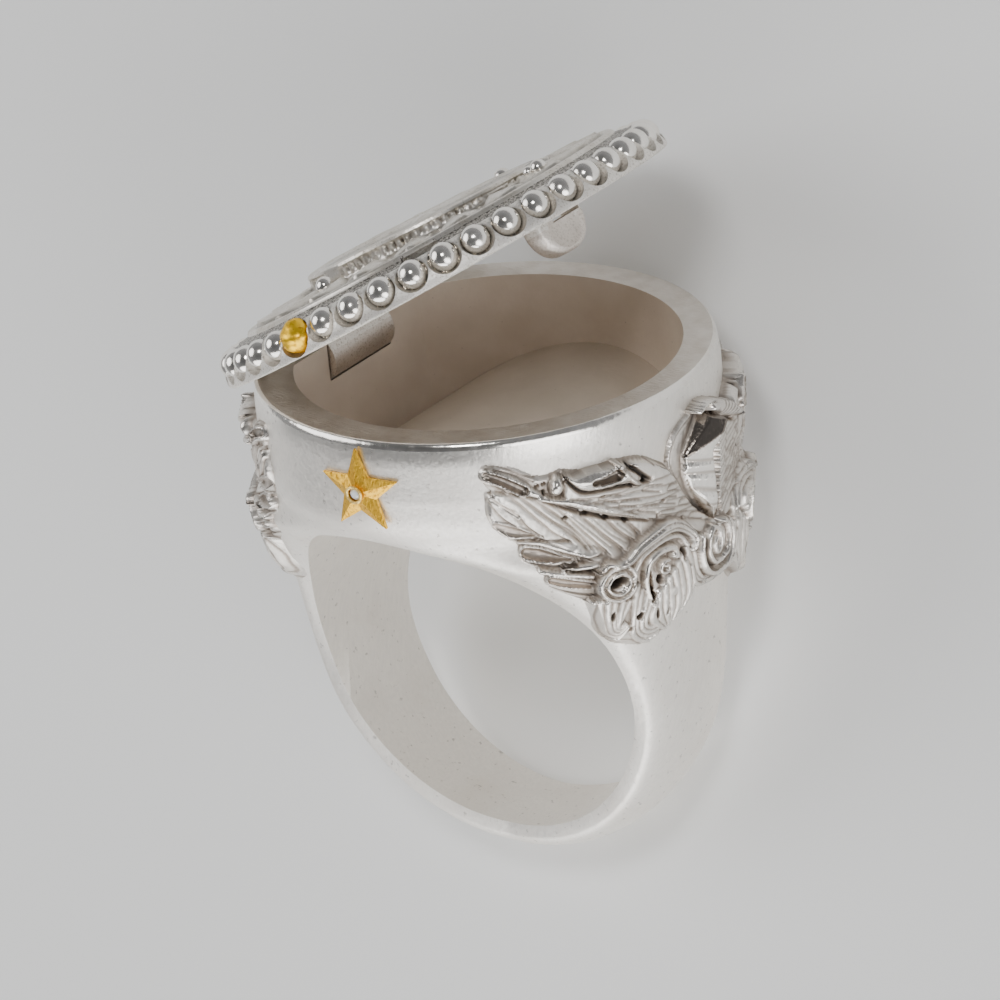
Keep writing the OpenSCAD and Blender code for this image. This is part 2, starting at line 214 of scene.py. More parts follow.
def spiral(at, r0, r1, start, turns):
    """Line in millimetres of a spiral round a place."""
    t = np.linspace(0, 1, int(24 * turns))
    a = math.radians(start) + 2 * math.pi * turns * t
    r = mix(r0, r1, t)
    return np.stack([at[0] * DEGREE_MM + r * np.cos(a), r * np.sin(a) - at[1]], 1)


class Relief:
    """Height, darkness and polish of a relief, at places given as degrees and height.

    The widths of a stroke are half widths: one number, one for each point, or what taper() takes.
    """

    def __init__(self, degrees, z):
        self.x, self.y = degrees * DEGREE_MM, z
        self.h, self.dark, self.polish = np.zeros((3, *z.shape))

    def near(self, line, widths, reach=1):
        """Grid points near a line, their distance from it over its half width, and their side of it."""
        if not isinstance(line, np.ndarray):
            line = bent(line)
        w = taper(line, *widths) if isinstance(widths, tuple) else np.broadcast_to(widths, len(line))
        low, high = line.min(0) - reach * w.max(), line.max(0) + reach * w.max()
        spot = np.nonzero((self.x > low[0]) & (self.x < high[0]) & (self.y > low[1]) & (self.y < high[1]))
        x, y = self.x[spot], self.y[spot]
        best, side = np.full(x.shape, 99.0), np.zeros_like(x)
        for i, ((ax, ay), (bx, by)) in enumerate(zip(line, line[1:])):
            dx, dy = bx - ax, by - ay
            t = limit(((x - ax) * dx + (y - ay) * dy) / max(dx * dx + dy * dy, 1e-9))
            ox, oy = x - ax - dx * t, y - ay - dy * t
            d = np.hypot(ox, oy) / np.maximum(mix(w[i], w[i + 1], t), 1e-4)
            closer = d < best
            best = np.where(closer, d, best)
            side = np.where(closer, np.sign(dx * oy - dy * ox), side)
        return spot, best, side

    def oval(self, at, radii, turn):
        """Distance from a place over the radii of a turned oval."""
        c, s = math.cos(math.radians(turn)), math.sin(math.radians(turn))
        ox, oy = self.x - at[0] * DEGREE_MM, self.y + at[1]
        return np.hypot((ox * c + oy * s) / radii[0], (oy * c - ox * s) / radii[1])

    def darken(self, spot, dark):
        self.dark[spot] = np.maximum(self.dark[spot], dark)

    def lower(self, spot, depth):
        """Sinks what is raised, and leaves the plain skin."""
        self.h[spot] -= depth * ramp(self.h[spot] / 0.1)

    def ridge(self, line, widths, height, base=0.2, power=0.5, ribs=0):
        """Raised stroke with a rounded crown, plain or as side by side ribs."""
        spot, d, side = self.near(line, widths)
        h = base + (height - base) * np.maximum(1 - d ** 2, 0) ** power
        if ribs:
            wave = np.abs(np.cos(d * side * math.pi * ribs / 2))
            h = h - 0.22 * (1 - wave ** 0.6) * (d < 1)
            self.darken(spot, 0.6 * np.exp(-(wave / 0.25) ** 2) * (d < 0.9))
        self.h[spot] = np.where(d < 1, np.maximum(self.h[spot], h), self.h[spot])

    def trough(self, line, widths, rim, floor, polish=1.0, dark=0.35):
        """Hollow feather: a rounded rim round a scooped floor."""
        scooped, rim_end = 0.78, 0.82
        spot, d, _ = self.near(line, widths)
        scoop = floor + (rim - floor) * limit(d / scooped) ** 2.2
        edge = rim * (1 - ramp((d - rim_end) / 0.18))
        h = np.where(d < scooped, scoop, np.where(d < rim_end, rim, edge))
        old = self.h[spot]
        self.h[spot] = np.where(d < rim_end, h, np.where(d < 1, np.maximum(old, h), old))
        self.polish[spot] = np.where(d < 0.75, polish, self.polish[spot])
        self.dark[spot] = np.where(d < 0.72, dark, self.dark[spot])

    def groove(self, line, width, depth, dark=0.8):
        spot, d, _ = self.near(line, width, 3)
        g = np.exp(-d * d)
        self.lower(spot, depth * g)
        self.darken(spot, dark * g)

    def step(self, line, reach, depth, dark=0.6):
        """Edge of one feather over the next: a sharp drop on the line's right, sloping back up."""
        spot, d, side = self.near(line, reach)
        self.lower(spot, depth * np.where(side < 0, np.maximum(1 - d, 0) ** 1.6, np.maximum(1 - d * 7, 0)))
        self.darken(spot, dark * np.exp(-(d * reach / 0.05) ** 2))

    def pit(self, at, radii, depth, turn=0, dark=1.0):
        g = np.exp(-self.oval(at, radii, turn) ** 4)
        self.lower(..., depth * g)
        self.darken(..., dark * g)

    def lump(self, at, radii, height, turn=0, base=0.2):
        d = self.oval(at, radii, turn)
        h = base + (height - base) * np.sqrt(np.maximum(1 - d * d, 0))
        self.h = np.where(d < 1, np.maximum(self.h, h), self.h)

    def inside(self, outline, rounded=True):
        """Distance inside a closed outline, 0 outside it."""
        if rounded:
            outline = bent((*outline, outline[0]), 4)[:-1]
        else:
            outline = np.array(outline) * (DEGREE_MM, -1)
        closed = np.vstack([outline, outline[:1]])
        spot, d, _ = self.near(closed, 1.0, 0)
        within = np.zeros(d.shape, bool)
        x, y = self.x[spot], self.y[spot]
        for (ax, ay), (bx, by) in zip(closed, closed[1:]):
            if ay != by:
                within ^= ((ay > y) != (by > y)) & (x < (bx - ax) * (y - ay) / (by - ay) + ax)
        out = np.zeros_like(self.x)
        out[spot] = np.where(within, d, 0)
        return out

    def plate(self, outline, height, edge=0.2):
        d = self.inside(outline)
        self.h = np.maximum(self.h, height * ramp(0.25 + d / edge) * (d > 0))


def taper(points, widest, start=0.3, end=0.2, peak=0.45):
    """Half widths along a line, narrow at both ends."""
    t = np.linspace(0, 1, len(points))
    rise = mix(start, 1, ramp(t / peak))
    fall = mix(1, end, ramp((t - peak) / (1 - peak)) ** 1.3)
    return widest * np.where(t < peak, rise, fall)


# Outlines of the wing's parts, GROUND from its tip along the top, and back underneath
GROUND = (
    (33.2, 1.6), (34, 1.15), (37, 1.1), (42, 1.4), (47, 1.95), (51, 1.95), (53, 1.85), (58, 2.1),
    (66, 2.1), (74, 2.35), (79, 2.95), (82.4, 3.5), (86, 5), (90.4, 6.3), (94, 7),
    (99, 7.1), (99, 10.1), (93, 10), (87, 9.9), (83.6, 10.2), (81, 11.1), (76, 11.75), (70.7, 11.95),
    (66, 11.7), (60.5, 11.4), (57.8, 10.2), (56.4, 9), (51, 8.35), (46.8, 7.75), (46.2, 7),
    (43.6, 6.5), (41, 6.2), (40.8, 5.4), (38, 5.05), (35.2, 4.5), (33.9, 3.6), (33.8, 2.6), (34.5, 2.2),
)
FLIGHT = (
    (35, 2.2), (44.5, 2.7), (50, 3.2), (57.3, 4.1), (67.4, 4.9), (76, 5.4), (86, 6.2), (78, 5.95),
    (72, 6.2), (66, 6.9), (60.5, 7), (54, 6.3), (46, 5.3), (38, 5), (34.6, 4.2), (34, 3),
)
COVERTS = (
    (53, 2.1), (60, 2.2), (67, 2.15), (74, 2.4), (79, 3), (82, 3.6), (88, 5.6), (93.5, 6.9),
    (88, 7.4), (82.5, 6.3), (76, 5.75), (70, 5.3), (62, 4.6), (54, 3.7), (52, 3),
)
COLLAR = (
    (82.2, 3.4), (84, 2.45), (87.4, 1.9), (92, 1.6), (96, 1.35), (99, 1.3), (99, 7), (93.6, 7),
    (90.2, 6.3), (85.9, 4.95),
)
FOLDS = (
    (58.6, 7.6), (60.5, 7), (66, 6.8), (72, 6.2), (80, 6.05), (84.5, 6.7), (87.5, 7.4), (93, 7.2),
    (99, 7.2), (99, 9.8), (93, 9.8), (87, 9.75), (83, 10.1), (80.4, 10.9), (76, 11.5),
    (70.7, 11.75), (66, 11.5), (61, 11.2), (58.4, 10), (57.2, 8.8),
)


def wing(degrees, z):
    """Relief of a wing, mirrored about the shoulder's middle line, and of what stands on that line."""
    r = Relief(WING_MIDDLE - np.abs(degrees - WING_MIDDLE), z)
    r.plate(GROUND, 0.3, 0.3)
    r.plate(FLIGHT, 0.62, 0.35)
    r.plate(COVERTS, 0.8, 0.3)
    r.plate(FOLDS, 0.62, 0.45)
    flight_feathers(r)
    coverts(r)
    tip_feathers(r)
    scrolls(r)
    for at, radii in (
        ((35.5, 2.4), (0.13, 0.1)), ((52.6, 4.22), (0.1, 0.08)), ((57.1, 4.18), (0.17, 0.1)),
        ((62.4, 4.66), (0.15, 0.1)), ((67.5, 5.1), (0.14, 0.09)), ((75.3, 5.42), (0.08, 0.07)),
        ((83.7, 6.12), (0.11, 0.07)), ((61.8, 3.45), (0.07, 0.06)), ((77.7, 4.75), (0.08, 0.06)),
    ):
        r.pit(at, radii, 0.4, -18)
    r.h *= mix(TIP_HEIGHT, 1, ramp((r.x / DEGREE_MM - 34) / 30))
    r.h *= 1 - 0.42 * ramp((r.x / DEGREE_MM - 77) / 12) * ramp((z + 7.3) / 1.2)
    r.h *= 1 - 0.5 * ramp((-z - 9.8) / 2)
    collar(r)
    r.x = degrees * DEGREE_MM
    back_wing(r)
    heart(r)
    blade(r)
    return r


def flight_feathers(r):
    """Long feathers, each edge lying over the next, with a fine quill between edges."""
    for line in (
        ((35.2, 2.9), (38, 3.75), (41.5, 4.35), (45.5, 4.95)),
        ((35.6, 2.35), (37.6, 3), (41.2, 3.5), (43.4, 4.3), (46.8, 5)),
        ((38.6, 2.4), (42.5, 3.2), (46.2, 4.1), (50.2, 5), (53.5, 5.5)),
        ((41.6, 2.6), (45.6, 3.4), (49.6, 4.25), (54, 5.05), (57, 5.9)),
        ((44.8, 2.8), (48.2, 3.5), (52.6, 4.4), (58.2, 5.95)),
        ((49.6, 3.3), (53.6, 4.3), (57.2, 5.25), (61.4, 6.3)),
        ((56.2, 4.2), (60.2, 5.2), (65.2, 6.35)), ((62.4, 4.7), (65.2, 5.5), (68.8, 6.2)),
        ((67.4, 5.1), (70.4, 5.9)),
    ):
        r.step(line, 0.5, 0.22)
    for line in (
        ((36.8, 2.9), (39.8, 3.55), (42.4, 4.2)), ((40.2, 2.6), (44, 3.5), (48.2, 4.5)),
        ((43.2, 2.85), (47, 3.7), (51.6, 4.7), (55.6, 5.6)),
        ((47.4, 3.2), (51, 4), (55.4, 5.1), (59.6, 6.1)), ((53, 3.95), (57, 4.85), (62.8, 6.2)),
        ((59.4, 4.6), (63, 5.5), (66.8, 6.2)), ((65, 5.1), (68.8, 5.95)),
    ):
        r.groove(line, 0.045, 0.06, 0.35)


def coverts(r):
    """Short overlapping feathers, the band under them and the crescent plume above."""
    for k in range(9):
        t = k / 8
        a, b = mix(54, 75, t), mix(82, 92.5, t)
        start, end = mix(3.2, 5.5, t), mix(3.75, 6.85, t)
        shares = np.linspace(0, 1, 6)
        waves = 0.1 * np.array([math.sin(5.3 * s + 1.9 * k) for s in shares])
        r.step(list(zip(mix(a, b, shares), mix(start, end, shares) + waves)), 0.26, 0.1, 0.42)
    for a, z in (
        (60.6, 3.5), (65.4, 4.05), (72, 3.75), (70.6, 4.7), (76.8, 4.75),
        (79, 4.25), (82.4, 5.3), (75.4, 5.3), (80.6, 5.85), (86, 6.3),
    ):
        curl = [(a + x, z + y) for x, y in ((5.6, 0.16), (1.6, -0.06), (0, 0.06), (1.4, 0.2), (4.6, 0.46))]
        r.groove(curl, 0.045, 0.11, 0.5)
    r.ridge(((47, 2.95), (54, 3.4), (60, 3.95), (66, 4.55), (73.5, 5.4)), (0.26, 0.4, 0.05), 0.93, 0.55)
    r.groove(((47, 3.05), (53, 3.75), (58, 4.15), (66, 4.85), (73, 5.45)), 0.06, 0.14)
    r.lump((51.2, 2.5), (0.36, 0.5), 1.02, -15)
    for at in ((46.8, 2.4), (48.4, 2.35), (48, 2.75)):
        r.pit(at, (0.1, 0.09), 0.3)
    r.ridge(((53.2, 2.12), (56.5, 2.5), (61, 2.64), (66, 2.68), (70, 2.9)), (0.52, 0.25, 0.55, 0.5),
            1.04, 0.5, 0.4)
    hollow = bent(((59.7, 2.62), (62.4, 2.62), (65.8, 2.52)))
    r.trough(hollow, np.linspace(0.2, 0.42, len(hollow)), 1.02, 0.6, 0.4, 0.75)
    r.groove(((53, 2.05), (54.6, 2.55), (57, 3), (61.5, 3.12), (66, 3.22), (70.5, 3.38)), 0.085, 0.4, 1)
    r.groove(((69, 2.35), (71, 2.8), (74.2, 3.42)), 0.12, 0.36, 1)
    r.pit((73, 3.4), (0.34, 0.14), 0.3, -18)
    r.ridge(((66.4, 2.2), (68.2, 2.75), (70.4, 3.32)), 0.17, 1.12, 0.6)
    r.groove(((66.8, 2.25), (68.6, 2.8), (70.5, 3.25)), 0.035, 0.08, 0.5)
    r.groove(((74.6, 2.25), (75.1, 2.55), (76, 2.8)), 0.05, 0.14)


def tip_feathers(r):
    """Hollow feathers down the wing's front edge."""
    r.ridge(((34.9, 1.6), (37, 1.7), (41, 2.08), (45.5, 2.65), (50, 3.1)), (0.4, 0.9, 0.3, 0.2), 0.72, 0.3)
    hollow = bent(((35.4, 1.55), (38.5, 1.8), (43.6, 2.45)))
    r.trough(hollow, np.linspace(0.3, 0.36, len(hollow)), 0.78, 0.3, 0.45, 0.75)
    r.groove(((34.4, 1.05), (39, 1.25), (43.5, 1.75), (46.5, 1.98)), 0.05, 0.1)
    r.groove(((37, 1.3), (41, 1.6), (46, 2.15)), 0.045, 0.1)
    r.trough(((36, 2.75), (38.6, 3.2), (41.8, 3.75)), 0.17, 0.66, 0.45, 0.6, 0.25)
    r.trough(((36.6, 4.2), (39.8, 4.5), (43, 4.72), (47, 4.97)), (0.4, 0.85, 0.2, 0.3), 0.7, 0.3, 0.25, 0.42)
    r.groove(((35.4, 4.35), (38, 4.95), (43, 5.1), (49, 5.3), (53, 5.45)), 0.055, 0.2)
    r.ridge(((41, 5.15), (46, 5.35), (51, 5.8), (55.6, 6.25)), (0.17, 0.5, 0.4), 0.66, 0.3)
    r.trough(((42.8, 5.75), (46, 5.93), (50, 6.2), (55, 6.48)), (0.44, 0.95, 0.2, 0.25),
             0.68, 0.24, 0.25, 0.5)
    r.groove(((42, 6.2), (45, 6.45), (49.5, 6.65), (54, 6.65)), 0.055, 0.22, 1)
    r.ridge(((51, 6.8), (54.5, 6.78), (58, 6.8), (61.5, 6.7)), 0.17, 0.7, 0.3)
    r.groove(((51.4, 6.8), (55, 7), (59, 7.08)), 0.075, 0.3, 1)
    r.groove(((51, 6.62), (56, 6.5), (60.6, 6.42)), 0.045, 0.16, 0.9)
    r.ridge(((45.6, 6.75), (51, 7.05), (57.5, 7.4)), 0.14, 0.58, 0.3)
    r.trough(((48, 7.25), (51.5, 7.5), (57.2, 7.85)), (0.34, 0.9, 0.75, 0.3), 0.64, 0.26, 0.25, 0.45)
    r.groove(((47.2, 7.75), (52, 8.15), (58.4, 8.55)), 0.05, 0.14)


def scrolls(r):
    """Scrolls under the wing, and the folds that hang from them."""
    fan(r, ((56.9, 8.8), (57.7, 10), (60.4, 11.1), (63.4, 11.2), (65.4, 10.5)),
        ((65.6, 9.1), (64.2, 9.7), (63.2, 10.15), (63.4, 10.35), (64.4, 10.2)), 6)
    fan(r, ((67.6, 8.4), (66.6, 9.8), (67, 11), (70.2, 11.65), (74, 11.5)),
        ((71.6, 9.4), (70.2, 10.1), (70.2, 10.7), (72, 11), (74.6, 11)), 4)
    fan(r, ((72.4, 9.5), (71.8, 10.3), (73.4, 10.9), (76.4, 11.4)),
        ((83.2, 7.6), (85, 8.9), (84, 10), (80, 10.9)), 8)
    fan(r, ((85.2, 8), (86.2, 9.1), (89.6, 9.65), (99, 9.65)),
        ((84, 8.6), (85.2, 9.6), (89, 9.9), (99, 9.95)), 3)
    r.lump((78.4, 9.4), (0.46, 0.36), 0.9, 30, 0.6)
    # curl at the end of the long scroll
    r.lump((63, 7.95), (1, 0.98), 0.86, 0, 0.6)
    r.ridge(spiral((63, 7.95), 0.88, 0.86, 70, 0.95), 0.14, 1.04, 0.6)
    r.ridge(spiral((63, 7.95), 0.58, 0.5, 60, 1), 0.12, 1.08, 0.7)
    r.pit((62.9, 7.93), (0.4, 0.22), 0.8, 14)
    r.ridge(((58.6, 7.1), (60.6, 6.82), (62.6, 6.95)), 0.17, 1.12, 0.5)
    r.ridge(((62.4, 7.05), (65.8, 6.93), (69, 6.53), (73, 6.25), (77, 6.08), (80.4, 6.2), (83.6, 6.65),
             (85.6, 7.25), (84.6, 7.72)), (0.38, 0.6, 0.5, 0.5), 1.14, 0.6, ribs=3)
    r.ridge(((66.4, 7.9), (68.6, 7.1), (72.4, 6.72), (77, 6.58), (80.8, 6.8), (82.8, 7.4)), 0.14, 1, 0.6)
    # hooked drop
    r.ridge(((71.6, 9.6), (70.2, 8.9), (69.9, 8.1), (70.8, 7.45), (73, 7.12), (76, 7.05), (78.4, 7.2),
             (79, 7.6)), (0.23, 0.5, 1, 0.6), 1.06, 0.55)
    r.lump((78.1, 7.5), (0.28, 0.22), 1.12)
    r.ridge(spiral((75.6, 8), 0.38, 0.12, 60, 1.1), 0.12, 1, 0.6)
    r.trough(((71.5, 8.1), (71.7, 8.7), (71.9, 9.35)), 0.26, 0.66, 0.15, dark=0.75)
    for at, radii, turn in (
        ((67.7, 8.05), (0.09, 0.28), -12), ((74.6, 8.55), (0.15, 0.2), 0), ((82, 7.85), (0.12, 0.27), 0),
        ((68.4, 10.05), (0.2, 0.15), 25), ((73.4, 10.3), (0.07, 0.3), 10), ((76.2, 10.2), (0.07, 0.28), -8),
        ((61.6, 9.7), (0.06, 0.22), -15), ((66, 10.7), (0.07, 0.16), -30),
    ):
        r.pit(at, radii, 0.55, turn, 0.95)


def fan(r, first, last, count, height=0.92, base=0.64):
    """Folds side by side, from one line over to another."""
    a, b = resample(bent(first), 16), resample(bent(last), 16)
    widths = np.clip(np.linalg.norm(b - a, axis=1) / (count - 1) * 0.54, 0.08, 0.22)
    for k in range(count):
        r.ridge(mix(a, b, k / (count - 1)), widths, height - 0.07 * (k % 2), base, 0.55)


def resample(line, count):
    """Line with evenly spaced points."""
    steps = np.concatenate([[0], np.cumsum(np.linalg.norm(np.diff(line, axis=0), axis=1))])
    t = np.linspace(0, steps[-1], count)
    return np.stack([np.interp(t, steps, line[:, i]) for i in (0, 1)], 1)


def heart(r):
    """Two rolled lobes under the blade."""
    r.lump((93.1, 8.25), (1.36, 1.3), 1, 0, 0.75)
    r.ridge(((87.3, 7.35), (86.7, 8.1), (87.6, 8.9), (90, 9.45), (93.2, 9.6), (96.6, 9.4), (98.8, 8.8),
             (99.3, 8), (98.2, 7.4), (96.4, 7.3)), 0.17, 1.22, 0.7)
    r.groove(((88.3, 7.6), (88, 8.4), (89.6, 9), (93, 9.25), (96.6, 8.95), (98, 8.1)), 0.08, 0.3, 0.85)
    r.ridge(((93.6, 9), (90.8, 8.95), (88.9, 8.3), (89.2, 7.6), (91.2, 7.2), (93.2, 7.5), (93.4, 8.2),
             (91.8, 8.5), (90.9, 8), (91.7, 7.75)), 0.15, 1.26, 0.85)
    r.ridge(((95.4, 7.2), (97.4, 7.5), (97.8, 8.2), (96.6, 8.8), (94.6, 9)), 0.14, 1.22, 0.85)
    r.pit((95.1, 8.15), (0.2, 0.3), 0.8, -10)
    r.groove(((94.2, 7.3), (94.4, 7.9), (94.2, 8.6)), 0.06, 0.25, 0.8)


def collar(r):
    """Smooth field beside the blade, with a thin raised border."""
    r.plate(COLLAR, 0.15, 0.2)
    r.ridge(((86.4, 5.1), (82.7, 3.5), (84.3, 2.5), (87.6, 1.97), (92, 1.67), (96, 1.42)), 0.06, 0.26, 0.15)
    r.groove(((86.8, 4.9), (83.6, 3.5), (85.1, 2.7), (88, 2.2), (92, 1.9)), 0.04, 0.05, 0.45)


def back_wing(r):
    """Barbs behind the blade, and the longer folds of the back."""
    r.plate(((96.5, 1.5), (104, 1.8), (112, 3), (116, 5), (112, 7), (104, 7.2), (97, 7)), 0.8, 0.3)
    for k in range(18):
        z = 2.3 + 0.27 * k
        barb = (96.8, z + 0.4), (100, z - 0.08), (104.5, z - 0.5), (109 + 0.3 * k, z - 0.72)
        r.step(barb, 0.22, 0.15, 0.7)
    r.ridge(((98, 1.7), (103, 2.1), (109, 2.7), (116, 3.6)), (0.42, 0.6, 0.3), 1.08, 0.6)
    r.groove(((99, 2.35), (104, 2.75), (110, 3.3)), 0.09, 0.3, 0.9)
    r.plate(((108, 9.6), (114, 9.9), (122, 10.2), (128, 10.4), (128.4, 11.8), (124, 12.6), (116, 12.2)),
            0.55, 0.5)
    fan(r, ((127.4, 9.4), (128, 10.6), (126.4, 12)), ((111, 9.6), (113, 10.9), (118, 12.1)), 7, 0.85, 0.35)


def blade(r):
    """Facetted, polished blade on the middle line: a dark top that is painted reflection, a right face
    darkened as painted shade, and a bright side cut across.
    """
    x, z = r.x - 94.5 * DEGREE_MM, r.y
    d = r.inside(((87.8, 3.3), (90.4, 2.75), (95.4, 1.75), (99.6, 1.85), (101, 2.4), (100.2, 3.6), (99, 5.2),
                  (97.2, 6.3), (94.8, 7.4), (90.4, 5.85), (88.4, 5.1), (87.2, 4.3)), False)
    crest_x = 0.79 * np.maximum(z + 3.5, 0) - 0.15

    def left_and_top(u):
        return 1.207 + 0.533 * u, 0.7136 * u - 0.458 * z - 0.12

    left, top = left_and_top(x)
    right = np.minimum(*left_and_top(crest_x)) - 0.9 * (x - crest_x)
    lower = 0.6 + 0.38 * (z + 7.3) + 0.1 * x
    bands = 0.5 + 0.5 * np.cos((z + 0.28 * x + 0.1 * np.sin(3 * z)) * 2 * math.pi / 0.78)
    cuts = 0.085 * bands * limit((-z - 3.1) / 0.3)
    h = np.minimum.reduce([left - cuts, right, lower, top])
    on = d > 0
    r.h = np.where(on, np.maximum(np.minimum(h, 0.32 + 3 * d), 0.2), r.h)
    r.polish = np.where(on, 1, r.polish)
    lines = 0.55 * limit(bands * 3 - 2) * limit((-z - 3.2) / 0.3)
    # Painted reflection: the top facet near black; painted shade: the right face; the cut lines are dark
    # grooves
    dark = np.where(top < left + 0.02, 0.95, np.where(right < left - 0.16, 0.6, lines))
    r.dark = np.where(on, dark, r.dark)
    r.ridge(((92.6, 1.5), (96.4, 1.32), (100.4, 1.5)), 0.09, 0.9, 0.5)


# Meshes


def circle(count):
    """Angles evenly round a circle."""
    return np.linspace(0, 2 * math.pi, count, endpoint=False)


def round_axis(r, a, z):
    """Points at a distance from the cup's axis, an angle from the front, and a height."""
    return np.stack(np.broadcast_arrays(r * np.sin(a), -r * np.cos(a), z), -1)


def grid_faces(rows, columns, closed=False, looped=False):
    """Quads of a grid, its columns wrapped round when closed, and its rows when looped."""
    k, i = np.mgrid[:rows - (not looped), :columns - (not closed)]
    j, m = (i + 1) % columns, (k + 1) % rows
    return np.stack([k * columns + i, k * columns + j, m * columns + j, m * columns + i], -1).reshape(-1, 4)


def mesh_object(name, points, faces, place=True):
    """Object from points in upright millimetres."""
    points = np.asarray(points, float)
    if place:
        points = points @ LAY_NP[:3, :3].T + LAY_NP[:3, 3]
    mesh = bpy.data.meshes.new(name)
    mesh.from_pydata(points.tolist(), [], [[int(i) for i in f] for f in faces])
    mesh.validate()
    mesh.update()
    obj = bpy.data.objects.new(name, mesh)
    bpy.context.collection.objects.link(obj)
    return obj


def write_attribute(obj, name, values):
    """Keeps a number for each point of a mesh, for its material."""
    attribute = obj.data.attributes.new(name, "FLOAT", "POINT")
    attribute.data.foreach_set("value", values.astype(np.float32))


def tube(rows):
    """Points and faces of a solid through closed rings of equal count, capped by fans."""
    rows = np.asarray(rows, float)
    m, n = rows.shape[:2]
    points = np.vstack([rows.reshape(-1, 3), rows[0].mean(0), rows[-1].mean(0)])
    faces = grid_faces(m, n, True).tolist()
    first, last = m * n, m * n + 1
    faces += [(first, (i + 1) % n, i) for i in range(n)]
    faces += [(last, (m - 1) * n + i, (m - 1) * n + (i + 1) % n) for i in range(n)]
    return points, faces


def head_solid():
    """Cup and plain shoulders, before anything is cut away."""
    columns = np.linspace(0, 360, 480, endpoint=False)
    signed = np.where(columns > 180, columns - 360, columns)
    a = np.radians(signed)
    levels = [
        (skin_r(signed, np.full_like(signed, z)) - RIM_EASE * ramp((z + 1.15) / 0.8), z)
        for z in np.append(np.arange(-14.78, -0.4, 0.2), -RIM_BEVEL_H)
    ]
    for t in (0.2, 0.45, 0.7, 0.9, 1.0):
        r = CUP_R - RIM_EASE - (RIM_BEVEL - RIM_EASE) * (1 - math.cos(t * math.pi / 2))
        levels.append((r, -RIM_BEVEL_H * (1 - math.sin(t * math.pi / 2))))
    return tube([round_axis(r, a, z) for r, z in levels])


# Where the carving of a shoulder starts and ends, in degrees from the front, at depths below the rim
CARVED = np.array([
    (0.85, 33, 155), (2.2, 32.6, 155.4), (3.6, 32.8, 155.2), (5.1, 37, 151), (6.4, 40.4, 147.6),
    (7.8, 45.6, 142.4), (8.9, 56, 132), (10, 58, 130.6), (12, 60, 130), (12.9, 70, 126),
])
CARVED_ROWS, CARVED_COLUMNS = 216, 440
# Depth of the carved skin under the plain one where nothing is raised
SUNK = 0.05


def shoulder_piece(name, side):
    """Carved skin over one shoulder, sunk just under the plain skin where nothing is raised."""
    top, bottom = CARVED[0, 0], CARVED[-1, 0]
    levels, share = np.linspace(-top, -bottom, CARVED_ROWS), np.linspace(0, 1, CARVED_COLUMNS)
    z, t = np.meshgrid(levels, share, indexing="ij")
    start, end = (np.interp(-z, CARVED[:, 0], CARVED[:, i]) for i in (1, 2))
    degrees = mix(start, end, t)
    relief = wing(degrees, z)
    a = np.radians(degrees)
    skin = skin_r(degrees, z)
    from_hole = np.hypot(skin * np.sin(a), z + FINGER_DROP) - FINGER_R
    height = (relief.h + hammered(degrees * DEGREE_MM, z, relief)) * ramp((from_hole - 0.1) / 0.8)
    border = limit(np.minimum(np.minimum(t, 1 - t) * 40, np.minimum(-z - top, z + bottom) * 8))
    r = skin + np.where(height < 0.03, -SUNK, height) * border - SUNK * (1 - border)
    points = round_axis(r, a, z).reshape(-1, 3) * (side, 1, 1)
    sloped = points[:, 0] < -OPEN_STOP_X
    slope = (points[sloped, 0] + OPEN_STOP_X) * math.tan(LID_OPEN)
    points[sloped, 2] = np.minimum(points[sloped, 2], slope - 0.02)
    faces = grid_faces(*z.shape)
    faces = faces[~(height < 0.02).reshape(-1)[faces].all(1)]
    if side > 0:
        faces = faces[:, ::-1]
    used, faces = np.unique(faces, return_inverse=True)
    obj = mesh_object(name, points[used], faces.reshape(-1, 4))
    worn = limit((blur(relief.h, 1) - blur(relief.h, 5)) / 0.1)
    # Darkness for the material: patina in the hollows, and painted reflection and shade on the blade's facets
    write_attribute(obj, "patina_and_painted_shade", shade_of(relief).reshape(-1)[used])
    write_attribute(obj, "polish", np.maximum(relief.polish, 0.75 * worn).reshape(-1)[used])
    return obj


def hammered(x, y, relief):
    """Slight unevenness of cast and hand-finished metal."""
    wave = (np.sin(7.1 * x + 2.3 * np.sin(3.7 * y)) * np.sin(6.3 * y + 1.9 * np.sin(4.1 * x + 1))
            + 0.6 * np.sin(17 * x + 5 * y) * np.sin(13 * y - 4 * x + 2))
    return 0.012 * wave * (relief.h > 0.1) * (1 - 0.7 * relief.polish)


def shade_of(relief):
    """Darkness of the hollows: drawn lines, places lower than what is round them, and the strokes' own
    darkness, which on the blade's facets is painted reflection and shade.
    """
    dip = limit((blur(relief.h, 8) - blur(relief.h, 1)) / 0.3)
    line = np.clip((blur(relief.h, 2) - relief.h) / 0.1, 0, 0.5)
    ground = 0.2 * ramp(relief.h / 0.2) * (1 - relief.polish)
    return limit(np.maximum.reduce([relief.dark * 0.85, dip * 0.72, line]) + ground)


def blur(h, reach):
    """Box blur, twice each way."""
    out = h
    for axis in (0, 1, 0, 1):
        padded = np.pad(out, [(reach + 1, reach) if i == axis else (0, 0) for i in (0, 1)], "edge")
        total = np.cumsum(padded, axis)
        n = 2 * reach + 1
        high = np.take(total, np.arange(n, total.shape[axis]), axis)
        low = np.take(total, np.arange(0, total.shape[axis] - n), axis)
        out = (high - low) / n
    return out


